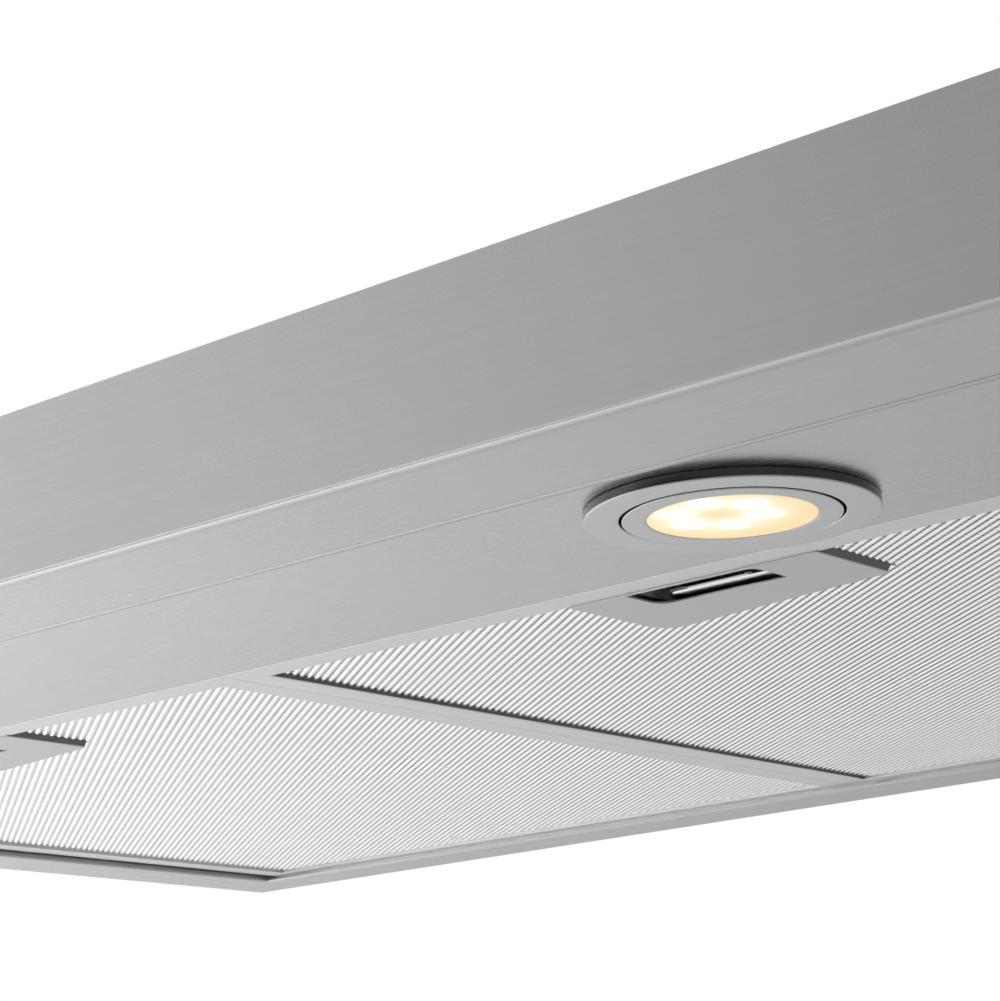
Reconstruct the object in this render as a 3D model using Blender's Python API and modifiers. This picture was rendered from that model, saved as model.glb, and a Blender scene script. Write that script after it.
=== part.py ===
"""Under cabinet range hood, 30 inches wide, as an assembly of its separate pieces.

Frame: metres, +Z up, the front faces -Y. The origin is on the flat top face that goes against the
cabinet, on the hood's centre plane and halfway between the top panel's front and back edges.
"""

import math

import bmesh
import bpy
from mathutils import Matrix, Vector

MM = 0.001
GAP = 0.3 * MM  # what touching pieces keep between them

# Shell
WIDTH = 759 * MM
DEPTH = 500 * MM
HEIGHT = 130 * MM
SHEET = 1.0 * MM
FLAT_DEPTH = 305 * MM  # the flat part of the top, as deep as a wall cabinet
LIP_HEIGHT = 49.7 * MM
CHAMFER_DEPTH = 23 * MM
CHAMFER_RISE = 7.3 * MM
SIDE_FLANGE = 33.2 * MM
BACK_FLANGE = 27.8 * MM
HEM = 9.7 * MM
TOP_FLANGE = 12 * MM

BACK_Y = FLAT_DEPTH / 2
FLAT_FRONT_Y = -FLAT_DEPTH / 2
FRONT_Y = BACK_Y - DEPTH
RIM_Z = -HEIGHT
SEAM_Y = FRONT_Y + CHAMFER_DEPTH
BEND_Z = RIM_Z + CHAMFER_RISE
LIP_TOP_Z = BEND_Z + LIP_HEIGHT
UNDER_TOP_Z = -SHEET - GAP
SIDE_INNER_X = WIDTH / 2 - SIDE_FLANGE

# Light strip and lamps
STRIP_Z = RIM_Z + 2.7 * MM
STRIP_FRONT_Y = SEAM_Y + 0.6 * MM
STRIP_BACK_Y = FRONT_Y + 118.7 * MM
LAMP_X = 235 * MM
LAMP_Y = FRONT_Y + 74.6 * MM
LAMP_HOLE_R = 33 * MM
LAMP_RING_R = 37.5 * MM
LAMP_BORE_R = 28.5 * MM
LENS_LIP_R = 21.5 * MM
LAMP_TURN = 28  # facets of a lamp's turned pieces

# Grease filters
FILTER_FRONT_Y = STRIP_BACK_Y + 0.6 * MM
FILTER_BACK_Y = BACK_Y - BACK_FLANGE - 1.9 * MM
FILTER_WIDTH = 342.7 * MM
FILTER_PITCH = 343.3 * MM
FILTER_HEIGHT = 9 * MM
RAIL = 11 * MM
RAIL_SHEET = 0.8 * MM
PAD_Z = STRIP_Z + 1.9 * MM
PAD_TOP_Z = STRIP_Z + FILTER_HEIGHT - RAIL_SHEET - GAP
TONGUE = (20 * MM, 9 * MM, 1.0 * MM)

# Latch of a filter, from the filter's centre line
LATCH_X = 9 * MM
PLATE_WIDTH = 89 * MM
PLATE_BACK_Y = LAMP_Y + 88.5 * MM
PLATE_Z = STRIP_Z + 0.1 * MM
PLATE_SHEET = 0.8 * MM
PLATE_RIM = 1.5 * MM
SLOT_LENGTH = 43 * MM
SLOT_FRONT_Y = LAMP_Y + 57.3 * MM
SLOT_BACK_Y = LAMP_Y + 70 * MM
BAR_Y = LAMP_Y + 66 * MM
BAR_R = 4 * MM
BAR_LENGTH = 41 * MM
POCKET_BACK_Y = LAMP_Y + 101.2 * MM
SLIDER_BACK_Y = LAMP_Y + 82.5 * MM
SLIDER_Z = PLATE_Z + 3.2 * MM

# Blower
AXIS_Y = 56 * MM
AXIS_Z = -57 * MM
WALL = 1.5 * MM
SCROLL_X = (28 * MM, 126 * MM)
SCROLL_R = (46 * MM, 58 * MM)  # inner radius at the cutoff and at the outlet
CUTOFF_DEG = 60
SCROLL_TOP_Z = -1.5 * MM
INLET_R = 33 * MM
WHEEL_R = 42 * MM
WHEEL_LENGTH = 84 * MM
WHEEL_X = 34 * MM
BLADES = 22
SHAFT_R = 4 * MM
MOTOR_R = 39 * MM
BEARING_R = 11 * MM

# Duct collar, 3 1/4 by 10 inches
DUCT_Y = 78 * MM
DUCT_SIZE = (254 * MM, 83 * MM)
DUCT_HEIGHT = 50 * MM
DUCT_FLANGE = 12 * MM
FLAP_Z = 24 * MM
FLAP_OFFSET = 3 * MM
ROD_R = 1.5 * MM

# Controls
PANEL_X = -LAMP_X
PANEL_Z = (BEND_Z + LIP_TOP_Z) / 2
BUTTON_SIZE = (20 * MM, 10 * MM)
BUTTON_PITCH = 24 * MM
BUTTON_NAMES = ("light", "off", "low", "medium", "high")
BEZEL_SIZE = (132 * MM, 22 * MM)
BEZEL_SPIGOT = (121 * MM, 14 * MM)
BEZEL_FRONT_Y = FRONT_Y - GAP - 2 * MM

# Wiring
BOX_X = -315 * MM
BOX_Y = 78 * MM
BOX_SIZE = (90 * MM, 76 * MM, 45 * MM)
WIRE_HOLE_R = 11 * MM

STEEL = ("brushed_steel", (0.56, 0.56, 0.56), 1.0, 0.32)
ZINC = ("zinc_plate", (0.50, 0.51, 0.52), 1.0, 0.42)
ALUMINIUM = ("aluminium", (0.80, 0.80, 0.80), 1.0, 0.36)
SATIN = ("satin_nickel", (0.62, 0.62, 0.62), 0.9, 0.38)
CHROME = ("chrome", (0.85, 0.85, 0.86), 1.0, 0.08)
LENS = ("frosted_lens", (1.0, 0.93, 0.78), 0.0, 0.5)
BOARD = ("circuit_board", (0.85, 0.86, 0.82), 0.0, 0.5)
BLACK = ("black_plastic", (0.03, 0.03, 0.03), 0.0, 0.5)
GREY = ("grey_plastic", (0.30, 0.31, 0.32), 0.0, 0.55)
PAINT = ("motor_paint", (0.10, 0.10, 0.11), 0.2, 0.45)


# ---------------------------------------------------------------- scene and modifiers

def clear_scene():
    for obj in list(bpy.data.objects):
        bpy.data.objects.remove(obj, do_unlink=True)


def new_collection(name):
    made = bpy.data.collections.new(name)
    bpy.context.scene.collection.children.link(made)
    return made


clear_scene()
HOOD = new_collection("range_hood")
CUTTERS = new_collection("cutters")


def material(look):
    name, colour, metallic, roughness = look
    made = bpy.data.materials.get(name)
    if made is None:
        made = bpy.data.materials.new(name)
        made.use_nodes = True
        shader = made.node_tree.nodes["Principled BSDF"]
        shader.inputs["Base Color"].default_value = (*colour, 1)
        shader.inputs["Metallic"].default_value = metallic
        shader.inputs["Roughness"].default_value = roughness
    return made


def add_object(name, bm, origin, look=None):
    """An object from a bmesh in world coordinates, with its origin where asked. No look: a cutter."""
    bmesh.ops.translate(bm, verts=bm.verts, vec=-Vector(origin))
    mesh = bpy.data.meshes.new(name)
    bm.to_mesh(mesh)
    bm.free()
    obj = bpy.data.objects.new(name, mesh)
    obj.location = origin
    if look is None:
        CUTTERS.objects.link(obj)
        obj.hide_render = True
        obj.display_type = "WIRE"
    else:
        HOOD.objects.link(obj)
        mesh.materials.append(material(look))
    return obj


def boolean(obj, operation, *others):
    for other in others:
        step = obj.modifiers.new(operation.lower(), "BOOLEAN")
        step.operation = operation
        step.solver = "EXACT"
        step.object = other
    return obj


def cut(obj, *cutters):
    return boolean(obj, "DIFFERENCE", *cutters)


def join(obj, *others):
    return boolean(obj, "UNION", *others)


def thicken(obj, thickness, offset):
    step = obj.modifiers.new("sheet", "SOLIDIFY")
    step.thickness = thickness
    step.offset = offset
    step.use_even_offset = True
    return obj


# ---------------------------------------------------------------- basic shapes

def box(name, low, high, look=None, origin=None):
    low, high = Vector(low), Vector(high)
    centre = (low + high) / 2
    bm = bmesh.new()
    place = Matrix.Translation(centre) @ Matrix.Diagonal((*(high - low), 1))
    bmesh.ops.create_cube(bm, size=1, matrix=place)
    return add_object(name, bm, origin or centre, look)


def turn_to(direction):
    """The rotation that takes +Z to the direction."""
    return Vector((0, 0, 1)).rotation_difference(Vector(direction)).to_matrix().to_4x4()


def cylinder(name, start, end, radius, look=None, segments=32, origin=None):
    start, end = Vector(start), Vector(end)
    centre = (start + end) / 2
    bm = bmesh.new()
    bmesh.ops.create_cone(
        bm,
        cap_ends=True,
        segments=segments,
        radius1=radius,
        radius2=radius,
        depth=(end - start).length,
        matrix=Matrix.Translation(centre) @ turn_to(end - start),
    )
    obj = add_object(name, bm, origin or centre, look)
    shade(obj)
    return obj


def shade(obj):
    obj.data.shade_smooth()
    obj.data.set_sharp_from_angle(angle=math.radians(35))


def turned(name, profile, place, direction, look, steps=LAMP_TURN):
    """A ring whose closed profile of (radius, height) runs down its outer side and up its bore."""
    bm = bmesh.new()
    points = [bm.verts.new((radius, 0, height)) for radius, height in profile]
    for i, point in enumerate(points):
        bm.edges.new((point, points[(i + 1) % len(points)]))
    obj = add_object(name, bm, (0, 0, 0), look)
    obj.matrix_world = Matrix.Translation(place) @ turn_to(direction)
    screw = obj.modifiers.new("turn", "SCREW")
    screw.steps = steps
    screw.render_steps = steps
    screw.use_merge_vertices = True
    screw.merge_threshold = 0.00001
    return obj


def plate(name, outline, axis, low, high, look=None, origin=None):
    """A flat outline of (a, b) points given depth along axis, X or Z.

    Along Z the points are (x, y), and along X they are (y, z). They run anticlockwise."""
    bm = bmesh.new()
    if axis == "Z":
        corners = [(a, b, low) for a, b in outline]
    else:
        corners = [(low, a, b) for a, b in outline]
    bm.faces.new([bm.verts.new(corner) for corner in corners])
    obj = add_object(name, bm, origin or corners[0], look)
    return thicken(obj, high - low, 1)


def folded(name, path, axis, low, high, thickness, look, grow=-1, flip=False):
    """A sheet bent along a path and drawn out along axis, X or Y, from low to high.

    Along X the path's points are (y, z), and along Y they are (x, z). grow is the side of the
    path that the sheet's thickness lies on, and flip turns the sheet over for a mirrored path."""
    bm = bmesh.new()
    rows = []
    for a, b in path:
        ends = [(low, a, b), (high, a, b)] if axis == "X" else [(a, low, b), (a, high, b)]
        rows.append([bm.verts.new(end) for end in ends])
    for (a, b), (c, d) in zip(rows, rows[1:]):
        bm.faces.new((a, b, d, c))
    if flip:
        bmesh.ops.reverse_faces(bm, faces=bm.faces)
    obj = add_object(name, bm, rows[0][0].co.copy(), look)
    return thicken(obj, thickness, grow)


def bent(points, radii, steps=4):
    """A path through points whose inner corners are arcs of the given radii."""
    made = [Vector(points[0])]
    for before, corner, after, radius in zip(points, points[1:], points[2:], radii):
        before, corner, after = Vector(before), Vector(corner), Vector(after)
        back = (before - corner).normalized()
        ahead = (after - corner).normalized()
        half = back.angle(ahead) / 2
        centre = corner + (back + ahead).normalized() * radius / math.sin(half)
        start = corner + back * radius / math.tan(half) - centre
        sweep = start.angle_signed(corner + ahead * radius / math.tan(half) - centre)
        for i in range(steps + 1):
            turn = Matrix.Rotation(-sweep * i / steps, 2)
            made.append(centre + turn @ start)
    made.append(Vector(points[-1]))
    return [tuple(point) for point in made]


def rounded_outline(low, high, radii, steps=5):
    """A rectangle's anticlockwise outline with a radius for each corner, from the low corner on."""
    corners = ((low[0], low[1]), (high[0], low[1]), (high[0], high[1]), (low[0], high[1]))
    made = []
    for i, ((x, y), radius) in enumerate(zip(corners, radii)):
        cx = x + radius if i in (0, 3) else x - radius
        cy = y + radius if i in (0, 1) else y - radius
        for step in range(steps + 1):
            angle = math.pi + math.pi / 2 * (i + step / steps)
            made.append((cx + radius * math.cos(angle), cy + radius * math.sin(angle)))
    return made


# ---------------------------------------------------------------- shell

def lip_profile(inset=0.0):
    """The corners of the front panel's outside, from the seam up to the flat top, moved inwards.

    At each corner the inset is shared out so that both of its sheets move by about the same amount.
    """
    return [
        (SEAM_Y + inset * 0.15, RIM_Z + inset),
        (FRONT_Y + inset, BEND_Z + inset * 0.7),
        (FRONT_Y + inset, LIP_TOP_Z - inset * 0.45),
        (FLAT_FRONT_Y - 1.5 * MM + inset * 0.1, UNDER_TOP_Z - inset),
    ]


def front_panel():
    corners = [(SEAM_Y, RIM_Z + HEM), *lip_profile()]
    corners.append((FLAT_FRONT_Y + TOP_FLANGE, UNDER_TOP_Z))
    path = bent(corners, (1.2 * MM, 2.5 * MM, 2.0 * MM, 2.0 * MM))
    panel = folded("front_panel", path, "X", -WIDTH / 2, WIDTH / 2, SHEET, STEEL)
    half_x = BEZEL_SPIGOT[0] / 2 + 0.5 * MM
    half_z = BEZEL_SPIGOT[1] / 2 + 0.5 * MM
    window = box(
        "lip_window",
        (PANEL_X - half_x, FRONT_Y - 5 * MM, PANEL_Z - half_z),
        (PANEL_X + half_x, FRONT_Y + 5 * MM, PANEL_Z + half_z),
    )
    return cut(panel, window)


def side_panel(name, side):
    inner, outer = SIDE_INNER_X, WIDTH / 2
    corners = [
        (side * inner, RIM_Z + HEM),
        (side * inner, RIM_Z),
        (side * outer, RIM_Z),
        (side * outer, UNDER_TOP_Z),
        (side * (outer - TOP_FLANGE), UNDER_TOP_Z),
    ]
    path = bent(corners, (1.2 * MM, 1.5 * MM, 1.5 * MM))
    start = FRONT_Y + SHEET + GAP
    end = BACK_Y - SHEET - GAP
    panel = folded(name, path, "Y", start, end, SHEET, STEEL, flip=side < 0)
    outside = 20 * MM
    clear = SHEET + GAP
    inner_front = [(SEAM_Y - clear, RIM_Z + clear + 0.5 * MM), *lip_profile(clear)[1:]]
    hem_top_z = RIM_Z + HEM + GAP
    profile = [
        (FRONT_Y - outside, outside),
        (FRONT_Y - outside, RIM_Z - outside),
        (SEAM_Y + GAP, RIM_Z - outside),
        (SEAM_Y + GAP, hem_top_z),
        (SEAM_Y - clear, hem_top_z),
        *bent(inner_front, (1.2 * MM, 0.7 * MM)),
        (FLAT_FRONT_Y + TOP_FLANGE + GAP, UNDER_TOP_Z - SHEET - GAP),
        (FLAT_FRONT_Y + TOP_FLANGE + GAP, outside),
    ]
    front = plate(name + "_front_cutter", profile, "X", -outer - outside, outer + outside)
    low_x, high_x = sorted((side * (inner - outside), side * (outer - SHEET - 0.2 * MM)))
    under_chamfer = box(
        name + "_chamfer_cutter",
        (low_x, FRONT_Y - outside, RIM_Z - outside),
        (high_x, SEAM_Y + GAP, hem_top_z + MM),
    )
    corner = box(
        name + "_back_cutter",
        (low_x, BACK_Y - BACK_FLANGE - GAP, RIM_Z - outside),
        (high_x, BACK_Y + outside, outside),
    )
    return cut(panel, front, under_chamfer, corner)


def back_panel():
    corners = [
        (BACK_Y - BACK_FLANGE, RIM_Z + HEM),
        (BACK_Y - BACK_FLANGE, RIM_Z),
        (BACK_Y, RIM_Z),
        (BACK_Y, UNDER_TOP_Z),
        (BACK_Y - TOP_FLANGE, UNDER_TOP_Z),
    ]
    path = bent(corners, (1.2 * MM, 1.5 * MM, 1.5 * MM))
    half = WIDTH / 2
    panel = folded("back_panel", path, "X", -half, half, SHEET, STEEL, flip=True)
    reach = 40 * MM
    inside = BACK_Y - SHEET - 0.2 * MM
    ends = [
        box(
            "back_end_cutter",
            (min(side * (half - SHEET - GAP), side * half * 2), BACK_Y - reach, RIM_Z - reach),
            (max(side * (half - SHEET - GAP), side * half * 2), inside, reach),
        )
        for side in (-1, 1)
    ]
    return cut(panel, *ends)


def top_panel():
    half = WIDTH / 2
    panel = box("top_panel", (-half, FLAT_FRONT_Y, -SHEET), (half, BACK_Y, 0), STEEL)
    tool = 5 * MM
    for side in (-1, 1):
        low_x, high_x = sorted((side * 30 * MM, side * 124.5 * MM))
        opening = box("duct_cutter", (low_x, 42.3 * MM, -tool), (high_x, 113.7 * MM, tool))
        cut(panel, opening)
        for y in (-115 * MM, 125 * MM):
            place = (side * 335 * MM, y)
            cut(panel, cylinder("fixing_cutter", (*place, -tool), (*place, tool), 2.75 * MM))
    for y in bracket_screw_places():
        cut(panel, cylinder("screw_cutter", (0, y, -tool), (0, y, tool), 2.4 * MM))
    wire = (BOX_X, BOX_Y)
    return cut(panel, cylinder("wire_cutter", (*wire, -tool), (*wire, tool), WIRE_HOLE_R))


def light_panel():
    rise = 13 * MM
    corners = [
        (STRIP_FRONT_Y, STRIP_Z + rise),
        (STRIP_FRONT_Y, STRIP_Z),
        (STRIP_BACK_Y, STRIP_Z),
        (STRIP_BACK_Y, STRIP_Z + rise),
    ]
    path = bent(corners, (1.0 * MM, 0.8 * MM))
    half = SIDE_INNER_X - GAP
    panel = folded("light_panel", path, "X", -half, half, SHEET, STEEL, grow=1)
    for side in (-1, 1):
        place = Vector((side * LAMP_X, LAMP_Y, STRIP_Z))
        up = Vector((0, 0, 10 * MM))
        cut(panel, cylinder("lamp_cutter", place - up, place + up, LAMP_HOLE_R, segments=LAMP_TURN))
        centre = filter_centre(side) + LATCH_X
        cut(panel, latch_slot_cutter("keeper_cutter", centre, STRIP_BACK_Y))
    return panel


def shell():
    front_panel()
    side_panel("side_panel_left", -1)
    side_panel("side_panel_right", 1)
    back_panel()
    top_panel()
    light_panel()


# ---------------------------------------------------------------- grease filters

def filter_centre(side):
    return side * FILTER_PITCH / 2


def filter_hinge(side):
    """The filter's lower back edge, which it swings about when its latch is let go."""
    return Vector((filter_centre(side), FILTER_BACK_Y, STRIP_Z))


def latch_slot_cutter(name, centre, y):
    half_x, reach = 12 * MM, 3 * MM
    z = SLIDER_Z
    return box(name, (centre - half_x, y - reach, z - 0.9 * MM), (centre + half_x, y + reach, z + 2.1 * MM))


def filter_frame(name, side):
    centre = filter_centre(side)
    low = Vector((centre - FILTER_WIDTH / 2, FILTER_FRONT_Y, STRIP_Z))
    high = Vector((centre + FILTER_WIDTH / 2, FILTER_BACK_Y, STRIP_Z + FILTER_HEIGHT))
    frame = box(name, low, high, ALUMINIUM, origin=filter_hinge(side))
    past = Vector((0, 0, 5 * MM))
    rail = Vector((RAIL, RAIL, 0))
    web = Vector((RAIL_SHEET, RAIL_SHEET, RAIL_SHEET))
    window = box(name + "_window", low + rail - past, high - rail + past)
    groove = box(name + "_groove", low + web, high - web)
    cut(frame, groove, window, latch_slot_cutter(name + "_slot", centre + LATCH_X, FILTER_FRONT_Y))
    width, reach, thickness = TONGUE
    for offset in (-FILTER_WIDTH / 3, FILTER_WIDTH / 3):
        x = centre + offset
        tongue = box(
            name + "_tongue",
            (x - width / 2, FILTER_BACK_Y - RAIL / 2, high.z - thickness),
            (x + width / 2, FILTER_BACK_Y + reach, high.z),
        )
        join(frame, tongue)
    return frame


def filter_mesh(name, side):
    centre = filter_centre(side)
    edge = RAIL_SHEET + GAP
    pad = box(
        name,
        (centre - FILTER_WIDTH / 2 + edge, FILTER_FRONT_Y + edge, PAD_Z),
        (centre + FILTER_WIDTH / 2 - edge, FILTER_BACK_Y - edge, PAD_TOP_Z),
        ALUMINIUM,
        origin=filter_hinge(side),
    )
    half = BAR_LENGTH / 2 + 5 * MM
    middle = centre + LATCH_X
    pocket = box(
        name + "_pocket",
        (middle - half, FILTER_FRONT_Y - RAIL, PAD_Z - 5 * MM),
        (middle + half, POCKET_BACK_Y, PAD_TOP_Z - 1.4 * MM),
    )
    return cut(pad, pocket)


def latch_plate(name, side):
    centre = filter_centre(side) + LATCH_X
    low = (centre - PLATE_WIDTH / 2, FILTER_FRONT_Y + RAIL + GAP)
    high = (centre + PLATE_WIDTH / 2, PLATE_BACK_Y)
    outline = rounded_outline(low, high, (0.5 * MM, 0.5 * MM, 3 * MM, 9 * MM))
    rim_z = PLATE_Z + PLATE_RIM
    tray = plate(name, outline, "Z", PLATE_Z, rim_z, SATIN, origin=filter_hinge(side))
    wall = PLATE_SHEET
    inner = rounded_outline(
        (low[0] + wall, low[1] + wall),
        (high[0] - wall, high[1] - wall),
        (0.4 * MM, 0.4 * MM, 2.2 * MM, 8.2 * MM),
    )
    hollow = plate(name + "_hollow", inner, "Z", PLATE_Z + wall, rim_z + 2 * MM)
    slot = rounded_outline(
        (centre - SLOT_LENGTH / 2, SLOT_FRONT_Y),
        (centre + SLOT_LENGTH / 2, SLOT_BACK_Y),
        (3 * MM, 5 * MM, 1.5 * MM, 4 * MM),
    )
    opening = plate(name + "_opening", slot, "Z", PLATE_Z - 2 * MM, rim_z + 2 * MM)
    return cut(tray, hollow, opening)


def latch_slide(name, side):
    """The pull bar, the slider behind it and the bolt that points at the keeper slot."""
    centre = filter_centre(side) + LATCH_X
    bar_z = PLATE_Z + PLATE_SHEET + GAP + BAR_R
    end = Vector((BAR_LENGTH / 2 - BAR_R, 0, 0))
    middle = Vector((centre, BAR_Y, bar_z))
    bar = cylinder(name, middle - end, middle + end, BAR_R, CHROME, segments=24, origin=middle)
    for sign in (-1, 1):
        bm = bmesh.new()
        place = Matrix.Translation(middle + sign * end) @ turn_to((1, 0, 0))
        bmesh.ops.create_uvsphere(bm, u_segments=24, v_segments=12, radius=BAR_R, matrix=place)
        join(bar, add_object(name + "_end", bm, middle + sign * end))
    far = 30 * MM
    flat = box(
        name + "_flat",
        (centre - far, BAR_Y - far, SLIDER_Z + 1.4 * MM),
        (centre + far, BAR_Y + far, SLIDER_Z + far),
    )
    cut(bar, flat)
    slider = box(
        name + "_slider",
        (centre - 14 * MM, BAR_Y - 3 * MM, SLIDER_Z),
        (centre + 14 * MM, SLIDER_BACK_Y, SLIDER_Z + 1.39 * MM),
    )
    bolt = box(
        name + "_bolt",
        (centre - 11 * MM, FILTER_FRONT_Y + 0.1 * MM, SLIDER_Z - 0.3 * MM),
        (centre + 11 * MM, BAR_Y + 2 * MM, SLIDER_Z + 1.38 * MM),
    )
    return join(bar, slider, bolt)


def latch_spring(name, side):
    """A compression coil between the slider and the back of its pocket."""
    centre = filter_centre(side) + LATCH_X
    wire_r, coil_r, turns, per_turn = 0.3 * MM, 1.7 * MM, 5, 8
    start = SLIDER_BACK_Y + GAP + wire_r
    end = POCKET_BACK_Y - GAP - wire_r
    coil_z = SLIDER_Z + 0.9 * MM
    curve = bpy.data.curves.new(name, "CURVE")
    curve.dimensions = "3D"
    curve.bevel_depth = wire_r
    curve.bevel_resolution = 1
    curve.use_fill_caps = True
    count = turns * per_turn + 1
    spline = curve.splines.new("POLY")
    spline.points.add(count - 1)
    for i, point in enumerate(spline.points):
        angle = math.tau * i / per_turn
        y = start + (end - start) * i / (count - 1)
        place = (coil_r * math.cos(angle), y - SLIDER_BACK_Y, coil_r * math.sin(angle))
        point.co = (*place, 1)
    obj = bpy.data.objects.new(name, curve)
    obj.location = (centre, SLIDER_BACK_Y, coil_z)
    HOOD.objects.link(obj)
    curve.materials.append(material(CHROME))
    return obj


def filters():
    for word, side in (("left", -1), ("right", 1)):
        filter_frame("filter_frame_" + word, side)
        filter_mesh("filter_mesh_" + word, side)
        latch_plate("latch_plate_" + word, side)
        latch_slide("latch_slide_" + word, side)
        latch_spring("latch_spring_" + word, side)


# ---------------------------------------------------------------- lamps

def lamp(word, side):
    base = Vector((side * LAMP_X, LAMP_Y, RIM_Z))
    up = (0, 0, 1)
    barrel_r = LAMP_HOLE_R - 0.5 * MM
    ring = (
        (barrel_r, 16 * MM),
        (barrel_r, 2.4 * MM),
        (LAMP_RING_R, 2.4 * MM),
        (LAMP_RING_R, 0.9 * MM),
        (LAMP_RING_R - 0.9 * MM, 0),
        (LAMP_BORE_R + 0.5 * MM, 0),
        (LAMP_BORE_R, 0.5 * MM),
        (LAMP_BORE_R, 16 * MM),
    )
    turned("lamp_ring_" + word, ring, base, up, SATIN)
    rim, seat = LAMP_BORE_R - 0.5 * MM, LENS_LIP_R + 3 * MM
    bezel = (
        (rim, 10 * MM),
        (rim, 0.7 * MM),
        (rim - 0.5 * MM, 0.2 * MM),
        (LENS_LIP_R + 0.5 * MM, 0.2 * MM),
        (LENS_LIP_R, 0.7 * MM),
        (LENS_LIP_R, 1.6 * MM),
        (seat, 1.6 * MM),
        (seat, 10 * MM),
    )
    turned("lamp_bezel_" + word, bezel, base, up, SATIN)
    disc_r = seat - GAP
    lens_low = base + Vector((0, 0, 1.9 * MM))
    lens_high = base + Vector((0, 0, 4.4 * MM))
    cylinder("lamp_lens_" + word, lens_low, lens_high, disc_r, LENS, segments=LAMP_TURN)
    led_board("led_board_" + word, base, disc_r)
    can_r = LAMP_BORE_R - 0.5 * MM
    can = [(3 * MM, 26 * MM), (can_r, 26 * MM), (can_r, 10.3 * MM)]
    can += [(can_r - 1.5 * MM, 10.3 * MM), (can_r - 1.5 * MM, 24.5 * MM), (3 * MM, 24.5 * MM)]
    turned("lamp_can_" + word, can, base, up, ALUMINIUM)
    half = [(29.5 * MM, 26.4 * MM), (34.5 * MM, 17.5 * MM), (43 * MM, 4.0 * MM), (47 * MM, 6 * MM)]
    legs = [(base.x - x, base.z + z) for x, z in reversed(half)]
    legs += [(base.x + x, base.z + z) for x, z in half]
    width = 10 * MM
    folded("lamp_clip_" + word, legs, "Y", base.y - width / 2, base.y + width / 2, 0.8 * MM, ZINC)


def led_board(name, base, radius):
    low = base + Vector((0, 0, 8.0 * MM))
    high = base + Vector((0, 0, 9.4 * MM))
    board = cylinder(name, low, high, radius, BOARD, segments=LAMP_TURN)
    for i in range(6):
        angle = math.tau * i / 6
        led = low + Vector((11 * MM * math.cos(angle), 11 * MM * math.sin(angle), 0))
        half = Vector((1.8 * MM, 1.8 * MM, 0))
        chip_low = led - half - Vector((0, 0, 1.4 * MM))
        chip_high = led + half + Vector((0, 0, MM))
        join(board, box(name + "_led", chip_low, chip_high))
    return board


# ---------------------------------------------------------------- blower

def scroll_outline(offset, start_deg):
    """Points of the scroll's wall from an angle round to its outlet side, moved outwards."""
    made = []
    for degrees in range(start_deg, 361, 15):
        share = (degrees - CUTOFF_DEG) / (360 - CUTOFF_DEG)
        radius = SCROLL_R[0] + (SCROLL_R[1] - SCROLL_R[0]) * share + offset
        angle = math.radians(degrees)
        made.append((AXIS_Y + radius * math.cos(angle), AXIS_Z + radius * math.sin(angle)))
    return made


def blower_housing(name, side):
    low_x, high_x = sorted((side * SCROLL_X[0], side * SCROLL_X[1]))
    back_y = AXIS_Y + SCROLL_R[1]
    outside = scroll_outline(WALL, 105) + [(back_y + WALL, SCROLL_TOP_Z), (40 * MM, SCROLL_TOP_Z)]
    housing = plate(name, outside, "X", low_x, high_x, GREY)
    past = 5 * MM
    neck = [(back_y, past), (42 * MM, past), (42 * MM, SCROLL_TOP_Z), (70 * MM, -8.5 * MM)]
    inside = scroll_outline(0, CUTOFF_DEG) + neck
    hollow = plate(name + "_hollow", inside, "X", low_x + WALL, high_x - WALL)
    axis = Vector((0, AXIS_Y, AXIS_Z))
    inlet_x = Vector((side * SCROLL_X[1], 0, 0))
    shaft_x = Vector((side * SCROLL_X[0], 0, 0))
    tool = Vector((past, 0, 0))
    inlet = cylinder(name + "_inlet", axis + inlet_x - tool, axis + inlet_x + tool, INLET_R, segments=48)
    passage = cylinder(name + "_passage", axis + shaft_x - tool, axis + shaft_x + tool, 13 * MM)
    return cut(housing, hollow, inlet, passage)


def inlet_ring(name, side):
    flange_r, lip_r, bore_r = INLET_R + 11 * MM, INLET_R - 0.6 * MM, INLET_R - 2 * MM
    profile = (
        (flange_r, 1.5 * MM),
        (flange_r, GAP),
        (lip_r, GAP),
        (lip_r, -5 * MM),
        (bore_r, -5 * MM),
        (bore_r, 0.5 * MM),
        (bore_r + MM, 1.5 * MM),
    )
    place = (side * SCROLL_X[1], AXIS_Y, AXIS_Z)
    turned(name, profile, place, (side, 0, 0), ZINC)


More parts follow.
